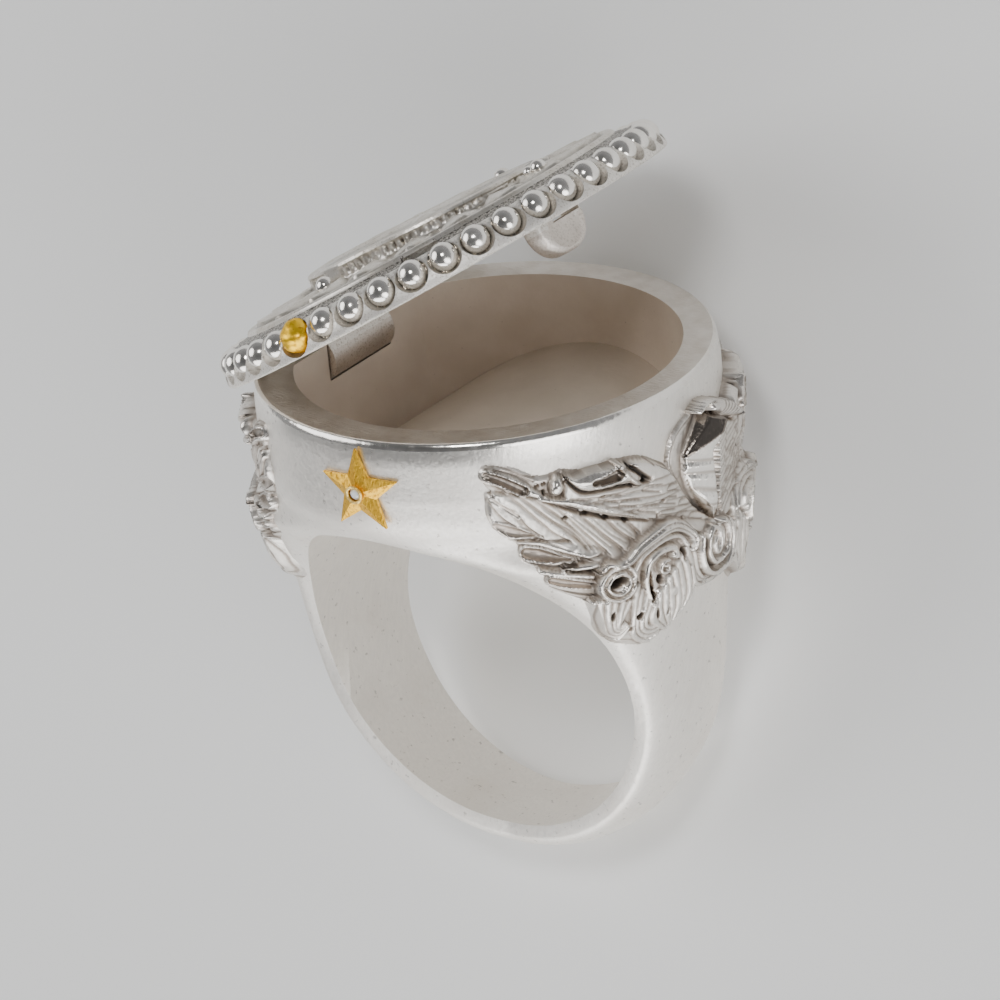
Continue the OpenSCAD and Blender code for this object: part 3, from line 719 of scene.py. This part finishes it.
def shank_solid():
    """Shank, round outside, and inside sunk past the finger hole's wall."""
    v = np.cos(np.linspace(0, math.pi, 25))
    rows = []
    for a in np.linspace(90.3, -90.3, 120)[::-1]:
        w, t = (curve(SHANK_FORM, np.array(min(abs(a), 90.0)), i) for i in (1, 2))
        r = EDGE_R + (t - EDGE_T) * np.sqrt(np.maximum(1 - v * v, 0))
        r = np.append(r, [FINGER_R - EDGE_T] * 2)
        y = np.append(v, [-1, 1]) * w
        rad = math.radians(a)
        rows.append(np.stack([r * math.sin(rad), y, -FINGER_DROP - r * math.cos(rad)], -1))
    return tube(rows)


def cylinder_solid(r, half, centre, axis="y", sides=256):
    """Cylinder along the Y or Z axis."""
    a = circle(sides)
    c, s = r * np.cos(a), r * np.sin(a)
    ends = (np.full_like(a, -half), np.full_like(a, half))
    return tube([np.stack((s, e, c) if axis == "y" else (c, s, e), -1) + centre for e in ends])


def box_solid(low, high, turn=0.0, about=(0, 0, 0)):
    """Box, turned about the Y axis through a point."""
    (x0, y0, z0), (x1, y1, z1) = low, high
    points, faces = tube([[(x0, y0, z), (x1, y0, z), (x1, y1, z), (x0, y1, z)] for z in (z0, z1)])
    return rotated(points, -turn, 0, 2, about), faces


def combine(obj, operation, *solids):
    """Cuts solids from an object or joins them to it, one after another."""
    for solid in solids:
        tool = mesh_object("tool", *solid) if isinstance(solid, tuple) else solid
        m = obj.modifiers.new("combine", "BOOLEAN")
        m.operation = operation
        m.solver = "MANIFOLD"
        m.object = tool
        bpy.context.view_layer.update()
        made = bpy.data.meshes.new_from_object(obj.evaluated_get(bpy.context.evaluated_depsgraph_get()))
        obj.modifiers.clear()
        old, obj.data = obj.data, made
        bpy.data.meshes.remove(old)
        bpy.data.objects.remove(tool)


def cut(obj, *solids):
    combine(obj, "DIFFERENCE", *solids)


def join(obj, *solids):
    combine(obj, "UNION", *solids)


def upright_points(obj):
    """A mesh's vertices back on the upright ring, in millimetres."""
    n = len(obj.data.vertices)
    p = np.empty(n * 3)
    obj.data.vertices.foreach_get("co", p)
    inverse = np.linalg.inv(LAY_NP)
    return p.reshape(-1, 3) @ inverse[:3, :3].T + inverse[:3, 3]


def smooth(obj, degrees=38):
    obj.data.shade_smooth()
    with bpy.context.temp_override(object=obj, selected_objects=[obj], active_object=obj,
                                   selected_editable_objects=[obj]):
        bpy.ops.object.shade_smooth_by_angle(angle=math.radians(degrees))


def ring_piece():
    """The whole cast ring: cup, shoulders and shank in one."""
    obj = mesh_object("ring", *head_solid())
    join(obj, shank_solid())
    cut(obj, cylinder_solid(FINGER_R, 20, (0, 0, -FINGER_DROP)))
    cavity = mesh_object("cavity", *cylinder_solid(CAVITY_R, 6, (CAVITY_SHIFT, 0, -3.5), "z"))
    cut(
        cavity,
        box_solid((-20, -20, -20), (-LAND_X, 20, 20)),
        cylinder_solid(FINGER_R + FLOOR_T, 20, (0, 0, -FINGER_DROP)),
    )
    half = KNUCKLE_HALF + KNUCKLE_ROOM
    cut(
        obj,
        cavity,
        box_solid((-OPEN_STOP_X - 6, -20, 0), (-OPEN_STOP_X, 20, 4), -LID_OPEN, (-OPEN_STOP_X, 0, 0)),
        box_solid((-PIN_X - 1.27, -half, -PIN_DROP), (-PIN_X + KNUCKLE_R, half, 3)),
        cylinder_solid(KNUCKLE_R + KNUCKLE_ROOM, half, PIN, sides=64),
    )
    return obj


# Lid


# Outline of the lid from the middle underneath, out and back to the middle on top
LID_PROFILE = np.array([
    (0.0, 1.95), (3.0, 1.93), (5.5, 1.85), (6.1, 1.4), (8.85, 1.3), (9.7, 0.55), (9.95, LID_GAP),
    (LID_R - 0.1, LID_GAP), (LID_R - 0.02, LID_GAP + 0.07), (LID_R, 0.3), (LID_R - 0.05, 0.6), (11.7, 0.85),
    (11.5, 1.15), (11.2, 1.42), (10.8, 1.6), (10.4, 1.7), (10.05, 1.76), (9.93, 1.82), (9.87, 1.94),
    (9.8, 2.02), (9.7, 2.05), (9.58, 2.03), (9.5, 1.96), (9.4, 1.93), (8.0, 1.98), (6.6, 2.06),
    (MEDALLION_R + 0.05, 2.1), (MEDALLION_R, 2.16), (MEDALLION_R - 0.02, 2.68), (MEDALLION_R + 0.02, 2.76),
    (MEDALLION_R - 0.02, 2.88), (MEDALLION_R - 0.16, 2.94), (5.6, 2.94), (5.4, 2.86), (5.2, 2.84),
    (5.0, 2.86), (3.0, 2.9), (0.0, 2.92),
])


def cant(x, y, z):
    """How far the slanting medallion sinks at a place."""
    return MEDALLION_CANT * np.maximum(0.62 * x + 0.78 * y + 4, 0) * ramp((z - 2.2) / 0.5)


def lid_solid():
    """Closed lid without its beads and fittings, turned from its outline."""
    dense = []
    for (r0, z0), (r1, z1) in zip(LID_PROFILE, LID_PROFILE[1:]):
        underneath = r1 > r0
        n = max(int(math.hypot(r1 - r0, z1 - z0) / (0.45 if underneath else 0.11)), 1)
        dense += [(mix(r0, r1, t), mix(z0, z1, t)) for t in np.arange(n) / n]
    dense = np.array(dense[1:])
    tangent = np.gradient(dense, axis=0)
    normal = np.stack([tangent[:, 1], -tangent[:, 0]], 1)
    normal /= np.maximum(np.linalg.norm(normal, axis=1, keepdims=True), 1e-9)
    turns = circle(360)
    rows = []
    for (r, z), (nr, nz) in zip(dense, normal):
        d = lid_relief(r, z, turns, nz)
        x, y, top = round_axis(r + nr * d, turns, z + nz * d).T
        rows.append(np.stack([x, y, top - cant(x, y, z)], -1))
    return tube(rows)


def lid_relief(r, z, turns, facing):
    """Raised ornament of the lid's top side, along its outline's normal."""
    if facing < -0.3:
        return np.zeros_like(turns)
    degrees = np.degrees(turns)
    if z > WALL_FOOT_Z and r > MEDALLION_R - 0.2:
        ribs = np.abs(np.sin(turns * 40 + 0.5 * np.sin(turns * 13))) ** 0.6
        plain = np.exp(-((degrees % 90 - 79) / 7.5) ** 4)
        band = math.exp(-((z - 2.45) / 0.23) ** 4)
        return (0.22 * (ribs - 0.8) * (1 - plain) + 0.05 * plain) * band
    if PETALS_FROM < r < PETALS_TO and z > 1.9:
        across = (r - PETALS_FROM) / (PETALS_TO - PETALS_FROM)
        turn = 360 / PETALS
        petal = (degrees - turn / 2) % turn - turn / 2
        width = 7.4 * math.sin(math.pi * min(max(across, 0.02), 0.98)) ** 0.6
        return 0.26 * np.maximum(1 - (petal / width) ** 2, 0) ** 0.6
    if r < 5.0 and z > 2.6:
        points = np.abs(((degrees + 22.5) % 45 - 22.5) / 22.5)
        reach = mix(4.6, 1.7, points)
        return 0.16 * limit((reach - r) / 1.2) ** 0.7 * (1 - 0.5 * points)
    return np.zeros_like(turns)


def ball(centre, r, sides=24, rings=14):
    """Points and faces of a ball."""
    t = circle(sides)
    rows = []
    for a in math.pi * np.arange(1, rings) / rings:
        reach = r * math.sin(a)
        rows.append(np.stack([reach * np.cos(t), reach * np.sin(t), np.full_like(t, -r * math.cos(a))], -1))
    points, faces = tube(np.array(rows) + centre)
    points[-2:] = np.array(centre) + ((0, 0, -r), (0, 0, r))
    return points, faces


def round_the_lid(degrees, r, z):
    """Place on the closed lid, at degrees from the front."""
    a = math.radians(degrees)
    return np.array([r * math.sin(a), -r * math.cos(a), z])


def bead_place(k, r=BEAD_CIRCLE_R, z=BEAD_Z):
    """Middle of a bead of the row, number 0 the gold one."""
    return round_the_lid(BEAD_PHASE + 360 / BEADS * k, r, z)


def tongue_solid():
    """Catch under the lid: a rounded lobe, softened at its edges."""
    half, middle, drop, top = 1.75, -0.22, 1.85, 1.4
    arc = np.linspace(0, math.pi / 2, 14)
    rows = []
    for x, inset in (
        (0, 0.3), (0.06, 0.16), (0.2, 0.04), (0.35, 0), (CATCH_T - 0.35, 0), (CATCH_T - 0.2, 0.05),
        (CATCH_T - 0.07, 0.16), (CATCH_T, 0.32),
    ):
        h, low = half - inset, -drop + inset
        corner = 1.45 - inset * 0.8
        y, z = corner * np.cos(arc), corner * np.sin(arc)
        right = zip(middle + h - corner + y, low + corner - z)
        left = zip(middle - h + corner - z, low + corner - y)
        outline = [(middle + h, top), *right, *left, (middle - h, top)]
        rows.append([(CATCH_X + x, y, z) for y, z in outline[::-1]])
    return tube(rows)


def turned_open(solid):
    """Solid of the closed lid, turned open."""
    points, faces = solid
    return opened(points), faces


def merged(solids):
    """Several solids that don't meet, as one list of points and faces."""
    points, faces, start = [], [], 0
    for p, f in solids:
        points.append(p)
        faces += [tuple(start + i for i in face) for face in f]
        start += len(p)
    return np.vstack(points), faces


def turned(solid, degrees):
    """Solid turned round the lid's middle."""
    points, faces = solid
    return rotated(points, math.radians(degrees), 0, 1), faces


def lid_piece():
    """The whole lid: disc, windows, catch, knuckle, beads and small balls."""
    obj = mesh_object("lid_shell", *turned_open(lid_solid()))
    slit = box_solid((-0.95, -10.95, 1.58), (0.95, -9.2, 1.84))
    well = box_solid((-0.8, -9.6, 1.2), (0.8, -8.7, 1.8))
    windows = [merged([turned(solid, WINDOW_AT), turned(solid, 180 - WINDOW_AT)]) for solid in (slit, well)]
    cut(obj, *map(turned_open, windows))
    catch = mesh_object("catch", *turned_open(tongue_solid()))
    dish = ball((CATCH_X + CATCH_T + DISH_R - 0.2, -0.35, -0.75), DISH_R, 64, 48)
    slot = box_solid((5.9, -0.7, -0.3), (9.5, 1.2, LID_GAP - 0.02))
    cut(catch, turned_open(dish), turned_open(slot))
    block = box_solid((-PIN_X - 0.85, -KNUCKLE_HALF, -PIN_DROP), (-PIN_X + KNUCKLE_R, KNUCKLE_HALF, 1.6))
    knuckle = cylinder_solid(KNUCKLE_R, KNUCKLE_HALF, PIN, sides=64)
    join(obj, catch, turned_open(block), turned_open(knuckle))
    sizes = [SOCKET_R + NUGGET_EXTRA] + [SOCKET_R] * (BEADS - 1)
    sockets = [ball(bead_place(k, SOCKET_CIRCLE_R, SOCKET_Z), r, 32, 20) for k, r in enumerate(sizes)]
    cut(obj, turned_open(merged(sockets)))
    beads = [ball(bead_place(k), BEAD_R) for k in range(1, BEADS)]
    balls = [ball(round_the_lid(degrees, r, BALL_Z), size, 18, 12) for degrees, r, size in SMALL_BALLS]
    join(obj, *(turned_open(merged(solids)) for solids in (beads, balls[::2], balls[1::2])))
    return obj


def stone_collar():
    """Rounded wall of gold round the stone."""
    radius, thick, sides, around = 0.385, 0.075, 48, 12
    u, v = np.meshgrid(circle(sides), circle(around), indexing="ij")
    reach = radius + thick * np.cos(v)
    points = np.stack([reach * np.cos(u), thick * np.sin(v), reach * np.sin(u)], -1).reshape(-1, 3)
    faces = grid_faces(sides, around, True, True)
    return mesh_object("stone_collar", *turned((points + (0, -CUP_R - 0.6, STAR_Z), faces), STAR_TURN))


def nugget():
    """Gold bead, dented like a nugget."""
    points, faces = ball((0, 0, 0), BEAD_R + NUGGET_EXTRA, 48, 32)
    x, y, z = points.T
    dent = (0.035 * np.sin(5 * x + 1.3) * np.cos(6 * y + 0.4) + 0.03 * np.sin(9 * z + 4 * x)
            + 0.012 * np.sin(23 * x + 3 * z) * np.sin(19 * z - 5 * y)
            - 0.17 * np.exp(-((x - 0.62) ** 2 + (z - 0.5) ** 2) / 0.05))
    points = points * (1 + np.minimum(dent, 0.03))[:, None]
    return mesh_object("gold_nugget", opened(points + bead_place(0, BEAD_CIRCLE_R + 0.15)), faces)


# Materials


class Finish:
    """A material with short ways to add nodes."""

    def __init__(self, name, colour, metallic, roughness):
        self.material = bpy.data.materials.new(name)
        self.material.use_nodes = True
        self.tree = self.material.node_tree
        self.wear(base_color=(*colour, 1), metallic=metallic, roughness=roughness)
        self.place = self.node("TexCoord", "Object")

    def fill(self, node, inputs):
        """Fills a node's sockets with numbers, colours or other nodes' outputs."""
        for key, value in inputs.items():
            socket = node.inputs["IOR" if key == "ior" else key.replace("_", " ").title()]
            if isinstance(value, bpy.types.NodeSocket):
                self.tree.links.new(value, socket)
            elif value is not None:
                socket.default_value = value

    def node(self, kind, output, setting=(), **inputs):
        """Adds a node, and gives one of its outputs."""
        node = self.tree.nodes.new("ShaderNode" + kind)
        if setting:
            setattr(node, *setting)
        self.fill(node, inputs)
        return node.outputs[output]

    def wear(self, **inputs):
        """Fills the shader's sockets, and gives the material."""
        self.fill(self.tree.nodes["Principled BSDF"], inputs)
        return self.material

    def stretched(self, scale):
        """Object coordinates drawn out along an axis, for brushed lines."""
        return self.node("Mapping", "Vector", vector=self.place, scale=scale)

    def noise(self, scale, detail=4, vector=None):
        return self.node("TexNoise", "Fac", vector=vector or self.place, scale=scale, detail=detail)

    def attribute(self, name):
        return self.node("Attribute", "Fac", ("attribute_name", name))

    def spread(self, value, low, high, out_low=0.0, out_high=1.0):
        """A value's range stretched to another one."""
        ends = {"from_min": low, "from_max": high, "to_min": out_low, "to_max": out_high}
        return self.node("MapRange", "Result", value=value, **ends)

    def blend(self, share, first, second):
        """Colour between two colours or outputs."""
        a, b = ((*c, 1) if isinstance(c, tuple) else c for c in (first, second))
        return self.node("Mix", "Result", ("data_type", "RGBA"), factor=share, a=a, b=b)

    def bump(self, height, distance, onto=None):
        return self.node("Bump", "Normal", strength=1.0, distance=distance, height=height, normal=onto)


BRIGHT = (0.94, 0.905, 0.85)
WARM = (0.84, 0.79, 0.73)
TAUPE = (0.44, 0.385, 0.335)
BLACKENED_AND_PAINTED_SHADE = (0.025, 0.022, 0.02)
# Near black painted shade for the lid's crevices
PAINTED_CREVICE_SHADE = (0.10, 0.09, 0.075)


def shade(colour, *shares):
    """Darker colour, by one share or by one for each part of it."""
    return tuple(c * k for c, k in zip(colour, shares * (3 // len(shares))))


def silver():
    """Matt white silver, warm in places, taupe and black as patina in the hollows and as painted reflection
    and shade on the blade's facets, mirror bright where polished.
    """
    f = Finish("satin_silver", BRIGHT, 1.0, 0.5)
    stain = f.spread(f.noise(260, 5), 0.5, 0.8)
    patina_and_painted_shade = f.attribute("patina_and_painted_shade")
    brushed = f.noise(1, 3, f.stretched((7000, 900, 7000)))
    pores = f.spread(f.noise(3400, 5), 0.64, 0.72)
    tone = f.blend(stain, f.blend(f.spread(brushed, 0.35, 0.7), BRIGHT, shade(BRIGHT, 0.93)), WARM)
    tone = f.blend(pores, tone, shade(WARM, 0.7))
    # Taupe and black: patina in the hollows, and painted reflection and shade on the blade's facets
    tone = f.blend(f.spread(patina_and_painted_shade, 0.08, 0.55), tone, TAUPE)
    tone = f.blend(f.spread(patina_and_painted_shade, 0.6, 1.0), tone, BLACKENED_AND_PAINTED_SHADE)
    grain = f.noise(5200, 3)
    satin = f.spread(grain, 0.3, 0.7, 0.42, 0.56)
    return f.wear(
        base_color=tone,
        roughness=f.spread(f.attribute("polish"), 0, 1, satin, 0.16),
        normal=f.bump(brushed, 0.000006, onto=f.bump(grain, 0.000012)),
    )


def rim_silver():
    """Filed top of the rim, brownish, with fine scratches."""
    f = Finish("filed_rim", TAUPE, 1.0, 0.4)
    worn = f.spread(f.noise(900, 6), 0.35, 0.65)
    scratches = f.noise(1, 4, f.stretched((2600, 8000, 8000)))
    return f.wear(
        base_color=f.blend(worn, (0.70, 0.64, 0.57), (0.82, 0.77, 0.71)),
        roughness=f.spread(scratches, 0.35, 0.7, 0.3, 0.5),
        normal=f.bump(scratches, 0.00005),
    )


def bright_silver():
    """Mirror bright silver of beads and bevels."""
    f = Finish("bright_silver", BRIGHT, 1.0, 0.1)
    return f.wear(
        base_color=f.blend(f.spread(f.noise(1400, 4), 0.5, 0.75), BRIGHT, WARM),
        roughness=f.spread(f.noise(2500, 3), 0.4, 0.75, 0.13, 0.26),
        normal=f.bump(f.noise(1700, 2), 0.00002),
    )


def lid_silver():
    """Cast silver of the lid's top, yellowish grey, with painted shade in the crevices."""
    f = Finish("lid_silver", BRIGHT, 1.0, 0.35)
    grain = f.noise(8000, 4)
    tone = f.blend(f.spread(f.noise(900, 5), 0.4, 0.7), (0.80, 0.76, 0.70), (0.60, 0.55, 0.47))
    tone = f.blend(f.spread(grain, 0.58, 0.76), tone, (0.34, 0.30, 0.25))
    return f.wear(
        base_color=f.blend(f.attribute("patina_and_painted_shade"), tone, PAINTED_CREVICE_SHADE),
        roughness=f.spread(grain, 0.35, 0.65, 0.28, 0.42),
        normal=f.bump(grain, 0.00001),
    )


def rough_silver(name, light, dark, low, high, depth):
    """Unfinished cast silver, grainy, dark where the grain is low, with painted shade in the crevices."""
    f = Finish(name, light, 1.0, 0.45)
    grain = f.noise(9500, 5)
    clouds = f.blend(f.spread(f.noise(500, 4), 0.35, 0.7), light, shade(light, 0.88))
    tone = f.blend(f.spread(grain, low, high), clouds, dark)
    return f.wear(
        base_color=f.blend(f.attribute("patina_and_painted_shade"), tone, PAINTED_CREVICE_SHADE),
        roughness=f.spread(grain, 0.35, 0.65, 0.4, 0.55),
        normal=f.bump(grain, depth),
    )


def inner_silver(name, light, dark):
    """Unpolished silver inside the cup, taupe with faint clouds and specks."""
    f = Finish(name, light, 0.15, 0.55)
    tone = f.blend(f.spread(f.noise(330, 6), 0.4, 0.7), dark, light)
    tone = f.blend(f.spread(f.noise(4600, 2), 0.72, 0.82), tone, shade(dark, 0.6))
    return f.wear(base_color=tone, normal=f.bump(f.noise(3000, 4), 0.00002))


def gold(name, light, scratched):
    """Yellow gold, with crossed fine scratches that hold darker tones."""
    f = Finish(name, light, 1.0, 0.3)
    marks = f.noise(1, 5, f.stretched(scratched))
    return f.wear(
        base_color=f.blend(f.spread(marks, 0.5, 0.68), light, shade(light, 0.52, 0.42, 0.3)),
        roughness=f.spread(marks, 0.35, 0.65, 0.3, 0.48),
        normal=f.bump(marks, 0.00004),
    )


def stone():
    return Finish("diamond_stone", (0.90, 0.95, 1.0), 0.0, 0.02).wear(ior=2.42, transmission_weight=0.15)


def paint(obj, *materials):
    obj.data.materials.clear()
    for m in materials:
        obj.data.materials.append(m)


def ring_zones(obj, points):
    """Slots of the ring's faces: 1 inside the cup, 2 on the rim, 3 on its bevel, 4 on the cup's floor, which
    is painted darker as shade.
    """
    for face in obj.data.polygons:
        corners = points[list(face.vertices)]
        x, y, z = corners.mean(0)
        r = math.hypot(x, y)
        in_cup = math.hypot(x - CAVITY_SHIFT, y) < CAVITY_R + 0.02 and x > -LAND_X - 0.02
        floor = math.sqrt(max((FINGER_R + FLOOR_T - 0.3) ** 2 - x ** 2, 0)) - FINGER_DROP
        if z > -0.02:
            face.material_index = 2
        elif in_cup and z > floor:
            face.material_index = 4 if math.hypot(x, z + FINGER_DROP) < FINGER_R + FLOOR_T + 0.02 else 1
        elif corners[:, 2].min() > -RIM_BEVEL_H - 0.01 and r > CUP_R - RIM_BEVEL - 0.1:
            face.material_index = 3


def rim_polish(obj, points):
    """Polish that fades down the wall from the rim."""
    x, y, z = points.T
    outside = np.hypot(x, y) > CUP_R - 0.45
    write_attribute(obj, "polish", 0.6 * ramp((z + 1.5) / 1.1) * outside)


def lid_shade(obj, points):
    """Painted shade of the lid's crevices: round the beads, between ribs and between petals."""
    x, y, z = points.T
    r = np.hypot(x, y)
    uncanted = z + cant(x, y, z)
    centres = np.array([bead_place(k) for k in range(BEADS)])
    nearest = np.linalg.norm(points[:, None] - centres, axis=2).min(1)
    round_beads = 1 - limit((nearest - BEAD_R) / 0.13)
    ribs = limit((MEDALLION_R - 0.03 - r) / 0.14) * (r > MEDALLION_R - 0.33)
    ribs *= (uncanted < 2.84) * (z > WALL_FOOT_Z)
    petals = (z - np.interp(r, (6.6, 8, 9.4), (2.06, 1.98, 1.93))) / 0.12
    between = 0.6 * (1 - limit(petals)) * (r > MEDALLION_R + 0.03) * (r < 9.45) * (z > 1.85)
    flower = 0.45 * (1 - limit((uncanted - 2.9) / 0.08)) * (r < 5.2) * (z > 2.1)
    shades = 0.95 * round_beads, 0.8 * ribs, 0.85 * between, 0.7 * flower
    # Painted shade in the crevices, kept for the lid's materials
    write_attribute(obj, "patina_and_painted_shade", np.maximum.reduce(shades))


def lid_zones(obj, points):
    """Slots of the lid's faces: 1 balls, 2 catch and knuckle, 3 edge and underside, 4 above the beads, grainy
    with painted shade.
    """
    centres = [bead_place(k) for k in range(1, BEADS)]
    centres += [round_the_lid(degrees, r, BALL_Z) for degrees, r, _ in SMALL_BALLS]
    sizes = [BEAD_R] * (BEADS - 1) + [size for _, _, size in SMALL_BALLS]
    centres, sizes = np.array(centres), np.array(sizes) + 0.01
    for face in obj.data.polygons:
        x, y, z = middle = points[list(face.vertices)].mean(0)
        r = math.hypot(x, y)
        if (np.linalg.norm(centres - middle, axis=1) < sizes).any():
            face.material_index = 1
        elif z < LID_GAP - 0.01:
            face.material_index = 2
        elif r > 9.9 and z < 1.9:
            face.material_index = 4 if r < 10.75 and z > 1.3 else 3
        elif z < (1.97 if r < 6.2 else 1.85):
            face.material_index = 3


# Stage

IMAGE_WIDTH = 1000


def camera():
    """Camera that sees the ring as the photograph does."""
    azimuth, elevation, roll = map(math.radians, (38.366, 23.628, 6.5))
    turn = Matrix.Rotation(azimuth, 3, "Z") @ Matrix.Rotation(math.pi / 2 - elevation, 3, "X")
    turn @= Matrix.Rotation(-roll, 3, "Z")
    aim, offset = Vector((0, 0, -10)), Vector((-0.318, 2.006, 400))
    place = aim + turn @ offset
    focal_pixels = 8369.5
    data = bpy.data.cameras.new("camera")
    data.sensor_width = 36
    data.lens = focal_pixels / IMAGE_WIDTH * data.sensor_width
    data.clip_start, data.clip_end = 0.01, 10
    cam = bpy.data.objects.new("camera", data)
    basis = LAY.to_3x3() * 1000 @ turn
    cam.matrix_world = Matrix.Translation(LAY @ place) @ basis.to_4x4()
    bpy.context.collection.objects.link(cam)
    bpy.context.scene.camera = cam


def area_light(name, direction, distance, size, radiance):
    """Soft box that faces the ring, from a direction of the upright ring."""
    data = bpy.data.lights.new(name, "AREA")
    data.shape = "ELLIPSE"
    data.size, data.size_y = size
    data.energy = radiance * math.pi * size[0] * size[1]
    light = bpy.data.objects.new(name, data)
    way = (LAY.to_3x3() @ Vector(direction)).normalized()
    light.location = way * distance + Vector((0, 0, 0.01))
    light.rotation_mode = "QUATERNION"
    light.rotation_quaternion = (-way).to_track_quat("-Z", "Y")
    bpy.context.collection.objects.link(light)


def studio():
    floor_paint = Finish("pale_floor", (0.9, 0.9, 0.89), 0.0, 0.8).material
    half = 1.2
    floor = mesh_object("floor", [(-half, -half, 0), (half, -half, 0), (half, half, 0), (-half, half, 0)],
                        [(0, 1, 2, 3)], place=False)
    paint(floor, floor_paint)
    world = bpy.data.worlds.new("studio")
    world.use_nodes = True
    nodes, links = world.node_tree.nodes, world.node_tree.links
    nodes["Background"].inputs["Color"].default_value = (0.62, 0.63, 0.65, 1)
    apart, fade = nodes.new("ShaderNodeSeparateXYZ"), nodes.new("ShaderNodeMapRange")
    links.new(nodes.new("ShaderNodeTexCoord").outputs["Generated"], apart.inputs["Vector"])
    links.new(apart.outputs["Z"], fade.inputs["Value"])
    fade.inputs["To Min"].default_value, fade.inputs["To Max"].default_value = 0.5, 0.16
    links.new(fade.outputs["Result"], nodes["Background"].inputs["Strength"])
    bpy.context.scene.world = world
    area_light("below", (0.1, -0.6, -0.75), 0.42, (0.66, 0.36), 2.5)
    area_light("left", (-0.75, -0.6, 0.3), 0.42, (0.34, 0.34), 2.2)
    area_light("right", (0.95, -0.5, -0.15), 0.42, (0.26, 0.34), 3.1)
    area_light("over", (0.3, -0.75, 0.75), 0.5, (0.13, 0.13), 15)


def main():
    metal, bright = silver(), bright_silver()
    ring = ring_piece()
    points = upright_points(ring)
    # The cup floor's darker taupe is painted shade; the wall keeps the cup's own colour
    paint(ring, metal, inner_silver("cup_wall", (0.80, 0.70, 0.60), (0.71, 0.61, 0.51)), rim_silver(), bright,
          inner_silver("cup_floor_painted_shade", (0.57, 0.49, 0.41), (0.50, 0.43, 0.35)))
    rim_polish(ring, points)
    ring_zones(ring, points)
    smooth(ring)
    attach(ring, "ring")
    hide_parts("ring_body")
    for name, side in (("shoulder_right", 1), ("shoulder_left", -1)):
        shoulder = shoulder_piece(name, side)
        paint(shoulder, metal)
        shoulder.data.shade_smooth()
        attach(shoulder, "ring")

    lid = lid_piece()
    paint(
        lid, lid_silver(), bright,
        rough_silver("catch_silver", (0.80, 0.74, 0.68), (0.52, 0.46, 0.40), 0.5, 0.75, 0.00002),
        rough_silver("edge_silver", (0.90, 0.865, 0.81), (0.52, 0.47, 0.41), 0.52, 0.72, 0.00002),
        # Strip above the beads: real grain, with a near-black tone that is painted shade
        rough_silver("pitted_silver_painted_shade", (0.72, 0.68, 0.62), (0.10, 0.09, 0.08), 0.38, 0.58, 0.00003),
    )
    closed_points = opened(upright_points(lid), -LID_OPEN)
    lid_shade(lid, closed_points)
    lid_zones(lid, closed_points)
    smooth(lid)
    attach(lid, "lid")
    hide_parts("lid")

    bead_piece = nugget()
    paint(bead_piece, gold("nugget_gold", (1.0, 0.62, 0.03), (4200, 4200, 4200)))
    smooth(bead_piece, 60)
    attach(bead_piece, "lid")
    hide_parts("gold_bead")

    collar_piece = stone_collar()
    paint(collar_piece, gold("collar_gold", (1.0, 0.74, 0.26), (6000, 6000, 6000)))
    smooth(collar_piece)
    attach(collar_piece, "ring")

    nodes = frame["nodes"]
    paint(nodes["star"], gold("star_gold", (0.9, 0.53, 0.05), (9000, 4200, 9000)))
    paint(nodes["diamond"], stone())
    paint(nodes["hinge_pin"], bright)
    studio()
    camera()


main()
